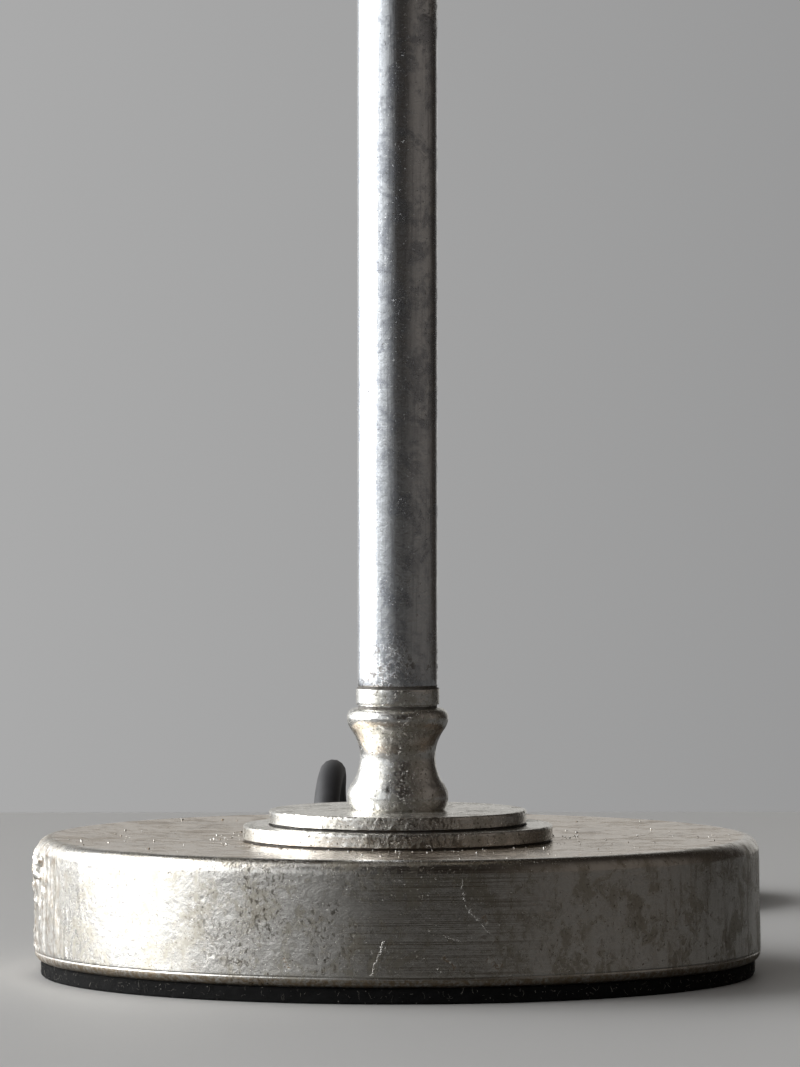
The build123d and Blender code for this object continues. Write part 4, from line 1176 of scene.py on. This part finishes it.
# bulb: opal globe and a rolled screw cap
bulbLook = {"globe": 30.0, "flare": 60.0, "neck": 12.3, "wall": 1.0, "crown": heights["holderTop"] + 84.0}


def bulbOutline():
    # a straight neck, a flare and the globe, tangent to each other
    globe, flare, neck = bulbLook["globe"], bulbLook["flare"], bulbLook["neck"]
    globeZ = bulbLook["crown"] - globe
    tilt = math.asin((neck + flare) / (globe + flare))
    flareZ = globeZ - (globe + flare) * math.cos(tilt)
    foot = heights["capHigh"] - 18.0

    def wall(inset):
        found = [(neck - inset, foot + step * (flareZ - foot) / 6) for step in range(6)]
        found += arc((neck + flare, flareZ), flare + inset, math.pi, math.pi / 2 + tilt, 20)[:-1]
        found += arc((0.0, globeZ), globe - inset, tilt - math.pi / 2, math.pi / 2, 48)
        found[-1] = (0.0, found[-1][1])
        return found

    return np.array(wall(bulbLook["wall"])[::-1] + wall(0))


bulbGlass = turned("bulb_globe", bulbOutline(), 96, "opalGlass", closed=False, sharp=50)
place(bulbGlass, "bulb", "opal", "bulb_glass")
capLow, capHigh = heights["capLow"], heights["capHigh"]
capCorners = [
    (5.5, capLow, 0, 1), (11.1, capLow, 0.4, 1), (13.1, capLow + 2, 0.6, 0.3), (13.1, capHigh, 0.2, 1),
    (12.6, capHigh, 0, 4), (12.6, capLow + 2.5, 0, 1), (10.6, capLow + 1.5, 0, 2),
    (5.5, capLow + 1.5, 0, 1),
]
capThread = threadRelief(capLow + 2.5, capHigh - 5, 3.6, 0.42, 12.9)
bulbCap = turned("bulb_screw_cap", outlineOf(capCorners), 96, "bulbMetal", capThread)
place(bulbCap, "bulb", "bulb_metal", "bulb_cap")
print("lampholder, switch and bulb done")

# shade
shadeLook = {
    "bottom": 140.0,
    "top": 98.0,
    "low": 439.7,
    "tall": 190.0,
    "thick": 0.9,
    "wire": 1.6,
    "gap": 0.3,
    "tapeWide": 9.0,
    "tapeThick": 0.5,
    "stitch": 7.4,  # from the edge to the stitches
    "mapRadius": 0.119,
}
slant = math.atan2(shadeLook["bottom"] - shadeLook["top"], shadeLook["tall"])
slantLength = math.hypot(shadeLook["bottom"] - shadeLook["top"], shadeLook["tall"])


def onSlant(along, out):
    r = shadeLook["bottom"] - along * math.sin(slant) + out * math.cos(slant)
    return r, shadeLook["low"] + along * math.cos(slant) + out * math.sin(slant)


def mapCloth(made):
    # metres around and along, taken from each corner's own place; the map's seam is at the back
    mesh = made.data
    layer = mesh.uv_layers.new(name="cloth")
    for polygon in mesh.polygons:
        spots = [mesh.vertices[index].co for index in polygon.vertices]
        turns = [math.atan2(spot.x, -spot.y) for spot in spots]
        if max(turns) - min(turns) > math.pi:
            turns = [turn + 2 * math.pi if turn < 0 else turn for turn in turns]
        for corner, spot, turn in zip(polygon.loop_indices, spots, turns):
            along = (spot.z - shadeLook["low"] * mm) / math.cos(slant)
            layer.data[corner].uv = (turn * shadeLook["mapRadius"], along)


def shadeRelief(points, normals):
    # the cover overlaps itself at the back, where it is glued
    turn = np.degrees(np.arctan2(points[:, 0], points[:, 1]))
    lap = ramp(turn, -2.4, -2.1) * (1 - ramp(turn, 2.1, 2.4))
    return lap * 0.35 * (outward(points, normals) > 0) + ragged(points, 40.0, 131) * 0.05


def cloth(name, corners, columns, finish, relief, flipped=False):
    outline = outlineOf([(*onSlant(along, out), rounding, step) for along, out, rounding, step in corners])
    if flipped:
        outline = outline[::-1]
    made = turned(name, outline, columns, finish, relief, sharp=50)
    mapCloth(made)
    return made


shadeAngles = np.radians(np.concatenate([np.arange(-267.0, 87.0, 2.0), np.arange(87.0, 93.0, 0.1)]))
thick = shadeLook["thick"]
shadeCorners = [(0, -thick, 0, 0.9), (0, 0, 0, 6), (slantLength, 0, 0, 0.9), (slantLength, -thick, 0, 6)]
shade = cloth("shade_linen", shadeCorners, shadeAngles, "linen", shadeRelief)
place(shade, "shade", "linen", "shade_cover")


def puckers(points, normals):
    turn = np.arctan2(points[:, 1], points[:, 0])
    return (outward(points, normals) > 0) * (0.04 * np.cos(turn * 190) + ragged(points, 5.0, 141) * 0.04)


def foldedTape(name, edge, inwards, node):
    # folded over the edge: down the outside, across it and up behind the ring
    out, wide = 0.15, shadeLook["tapeWide"]
    far, foot = out + shadeLook["tapeThick"], -thick - shadeLook["gap"] - 2 * shadeLook["wire"]
    corners = [
        (edge + inwards * wide, out, 0, 0.5), (edge + inwards * wide, far, 0.2, 1.5),
        (edge - inwards * far, far, 0.45, 1), (edge - inwards * far, foot, 0.2, 0.5),
        (edge - inwards * out, foot, 0, 1), (edge - inwards * out, out, 0, 1.5),
    ]
    made = cloth(name, corners, 380, "linenTape", puckers, inwards > 0)
    return place(made, "shade", "linen_tape", node)


bottomTape = foldedTape("tape_bottom", 0, 1, "shade_bottom_tape")
topTape = foldedTape("tape_top", slantLength, -1, "shade_top_tape")
stitch = {"Length": 1.25 * mm, "Thickness": 0.22 * mm}
inside = shadeLook["stitch"]
for name, along, count in (("stitches_bottom", inside, 200), ("stitches_top", slantLength - inside, 142)):
    r, z = onSlant(along, 0.65)
    ring = {"Radius": r * mm, "Height": z * mm, "Count": count}
    row = stitches.grow(name, "sewingThread", {**ring, **stitch})
    place(row, "shade", "linen_tape")

wire = shadeLook["wire"]
for name, along, node in (
    ("hoop_top", slantLength - wire, "shade_top_ring"), ("hoop_bottom", wire, "shade_bottom_ring"),
):
    hoopR, hoopZ = onSlant(along, -thick - shadeLook["gap"] - wire)
    ring = np.array(arc((hoopR, hoopZ), wire, 0, 2 * math.pi, 16)[:-1])
    place(turned(name, ring, 192, "whiteWire", sharp=0), "shade", "white_wire", node)
# each arm leaves the plate, drops and meets the bottom hoop from inside
armRoute = [(26.6, 484.6), (40, 484.6), (52, 484.2), (62, 480.0)]
armRoute += [(hoopR - inside, hoopZ + above) for inside, above in ((36, 8), (26, 0.6), (14, 0), (1.0, 0))]
for index in range(3):
    turn = math.radians(90 + 120 * index)
    points = [(r * math.cos(turn), r * math.sin(turn), z) for r, z in armRoute]
    name = "shade_arm_%d" % (index + 1)
    arm = asMesh(wireCurve(name, points, wire, "whiteWire"), name)
    place(arm, "shade", "white_wire", "shade_arms")
print("shade done")

# CAD nodes that stay, with their finishes
keptNodes = {
    "base_weight": "castIron", "threaded_tube": "zincPlate", "clamp_washer": "zincPlate",
    "clamp_nut": "zincPlate", "top_nut": "zincPlate", "insulator": "porcelain",
    "screw_shell": "bareBrass", "centre_contact": "bareBrass", "terminals": "bareBrass",
    "switch_spindle": "bareBrass", "bulb_contact": "bareBrass", "shade_plate": "whiteWire",
    "shade_clamp": "barrelBlack", "outlet_nut": "plugBlack", "lead_cores": "coreBrown",
}
for node, finish in keptNodes.items():
    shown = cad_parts[node]
    shown.data.materials.clear()
    shown.data.materials.append(finishes[finish])

# studio: pale floor, grey wall by camera rays, large soft lights at the left
studioLook = {
    "floor": (0.17, 0.168, 0.162),
    "floorSeen": (0.56, 0.555, 0.545),
    "floorBack": 0.613,
    "wallLeft": (0.42, 0.42, 0.42),
    "wallRight": (0.30, 0.30, 0.302),
    "dim": (0.024, 0.020, 0.017),
    "pale": (0.56, 0.55, 0.53),
    "glow": (2.15, 2.2, 2.25),
    "faint": (0.125, 0.11, 0.098),
}
# side in degrees left of the camera, distance, width, height of the light, height above the floor,
# radiance, height it points at, and what it leaves out
lightLook = {
    "keyLight": (100.0, 1.25, 2.0, 1.7, 0.75, 1.9, 0.35, None),
    "shineLight": (95.0, 1.2, 0.95, 1.6, 0.75, 2.6, 0.3, "visible_diffuse"),
    "frontLight": (5.0, 1.7, 1.8, 1.2, 1.5, 0.8, 0.4, "visible_glossy"),
    "topLight": (70.0, 0.7, 1.2, 1.2, 2.1, 0.5, 0.2, None),
}
for name, (side, away, wide, tall, height, radiance, aim, left) in lightLook.items():
    side = math.radians(side)
    spot = Vector((-math.sin(side) * away, -math.cos(side) * away, height))
    light = linked(name, bpy.data.lights.new(name, "AREA"))
    light.data.shape = "RECTANGLE"
    light.data.size = wide
    light.data.size_y = tall
    light.data.energy = radiance * math.pi * wide * tall
    light.location = spot
    light.rotation_euler = (Vector((0, 0, aim)) - spot).to_track_quat("-Z", "Y").to_euler()
    light.visible_camera = False
    if left:
        setattr(light, left, False)

floorFinish = Finish("paleFloor", {"Roughness": 0.6})
seen = floorFinish.node("ShaderNodeLightPath", {}, "Is Camera Ray")
floorFinish.feed({"Base Color": floorFinish.blend(seen, studioLook["floor"], studioLook["floorSeen"])})
back = studioLook["floorBack"]
floorCorners = [(-4, -4, 0), (4, -4, 0), (4, back, 0), (-4, back, 0)]
meshObject("floor", floorCorners, [(0, 1, 2, 3)], "paleFloor")

world = bpy.data.worlds.new("studio")
scene.world = world
world.use_nodes = True
air = Nodes(world.node_tree)
east, north, up = air.split(air.node("ShaderNodeTexCoord", {}, "Generated"))
# the glow grows towards the left, and the back is pale
leftward = air.most(east * -1.0, 0.0)
glow = leftward * leftward * air.fall(north, 0.80, 0.97) * air.fall(up, 0.45, 0.95)
faint = air.rise(east, 0.30, 0.90) * air.fall(north, 0.0, 0.6)
around = air.blend(air.rise(north, 0.80, 0.985), studioLook["dim"], studioLook["pale"])
around = air.blend(faint, around, studioLook["faint"])
around = air.blend(glow, around, studioLook["glow"])
wall = air.node("ShaderNodeMapRange", {"Value": east, "From Min": -0.07, "From Max": 0.07})
wall = air.blend(wall, studioLook["wallLeft"], studioLook["wallRight"])
rays = air.node("ShaderNodeLightPath", {}, "Is Camera Ray")
air.join(air.blend(rays, around, wall), world.node_tree.nodes["Background"].inputs["Color"])
scene.view_settings.view_transform = "Standard"
print("studio done")
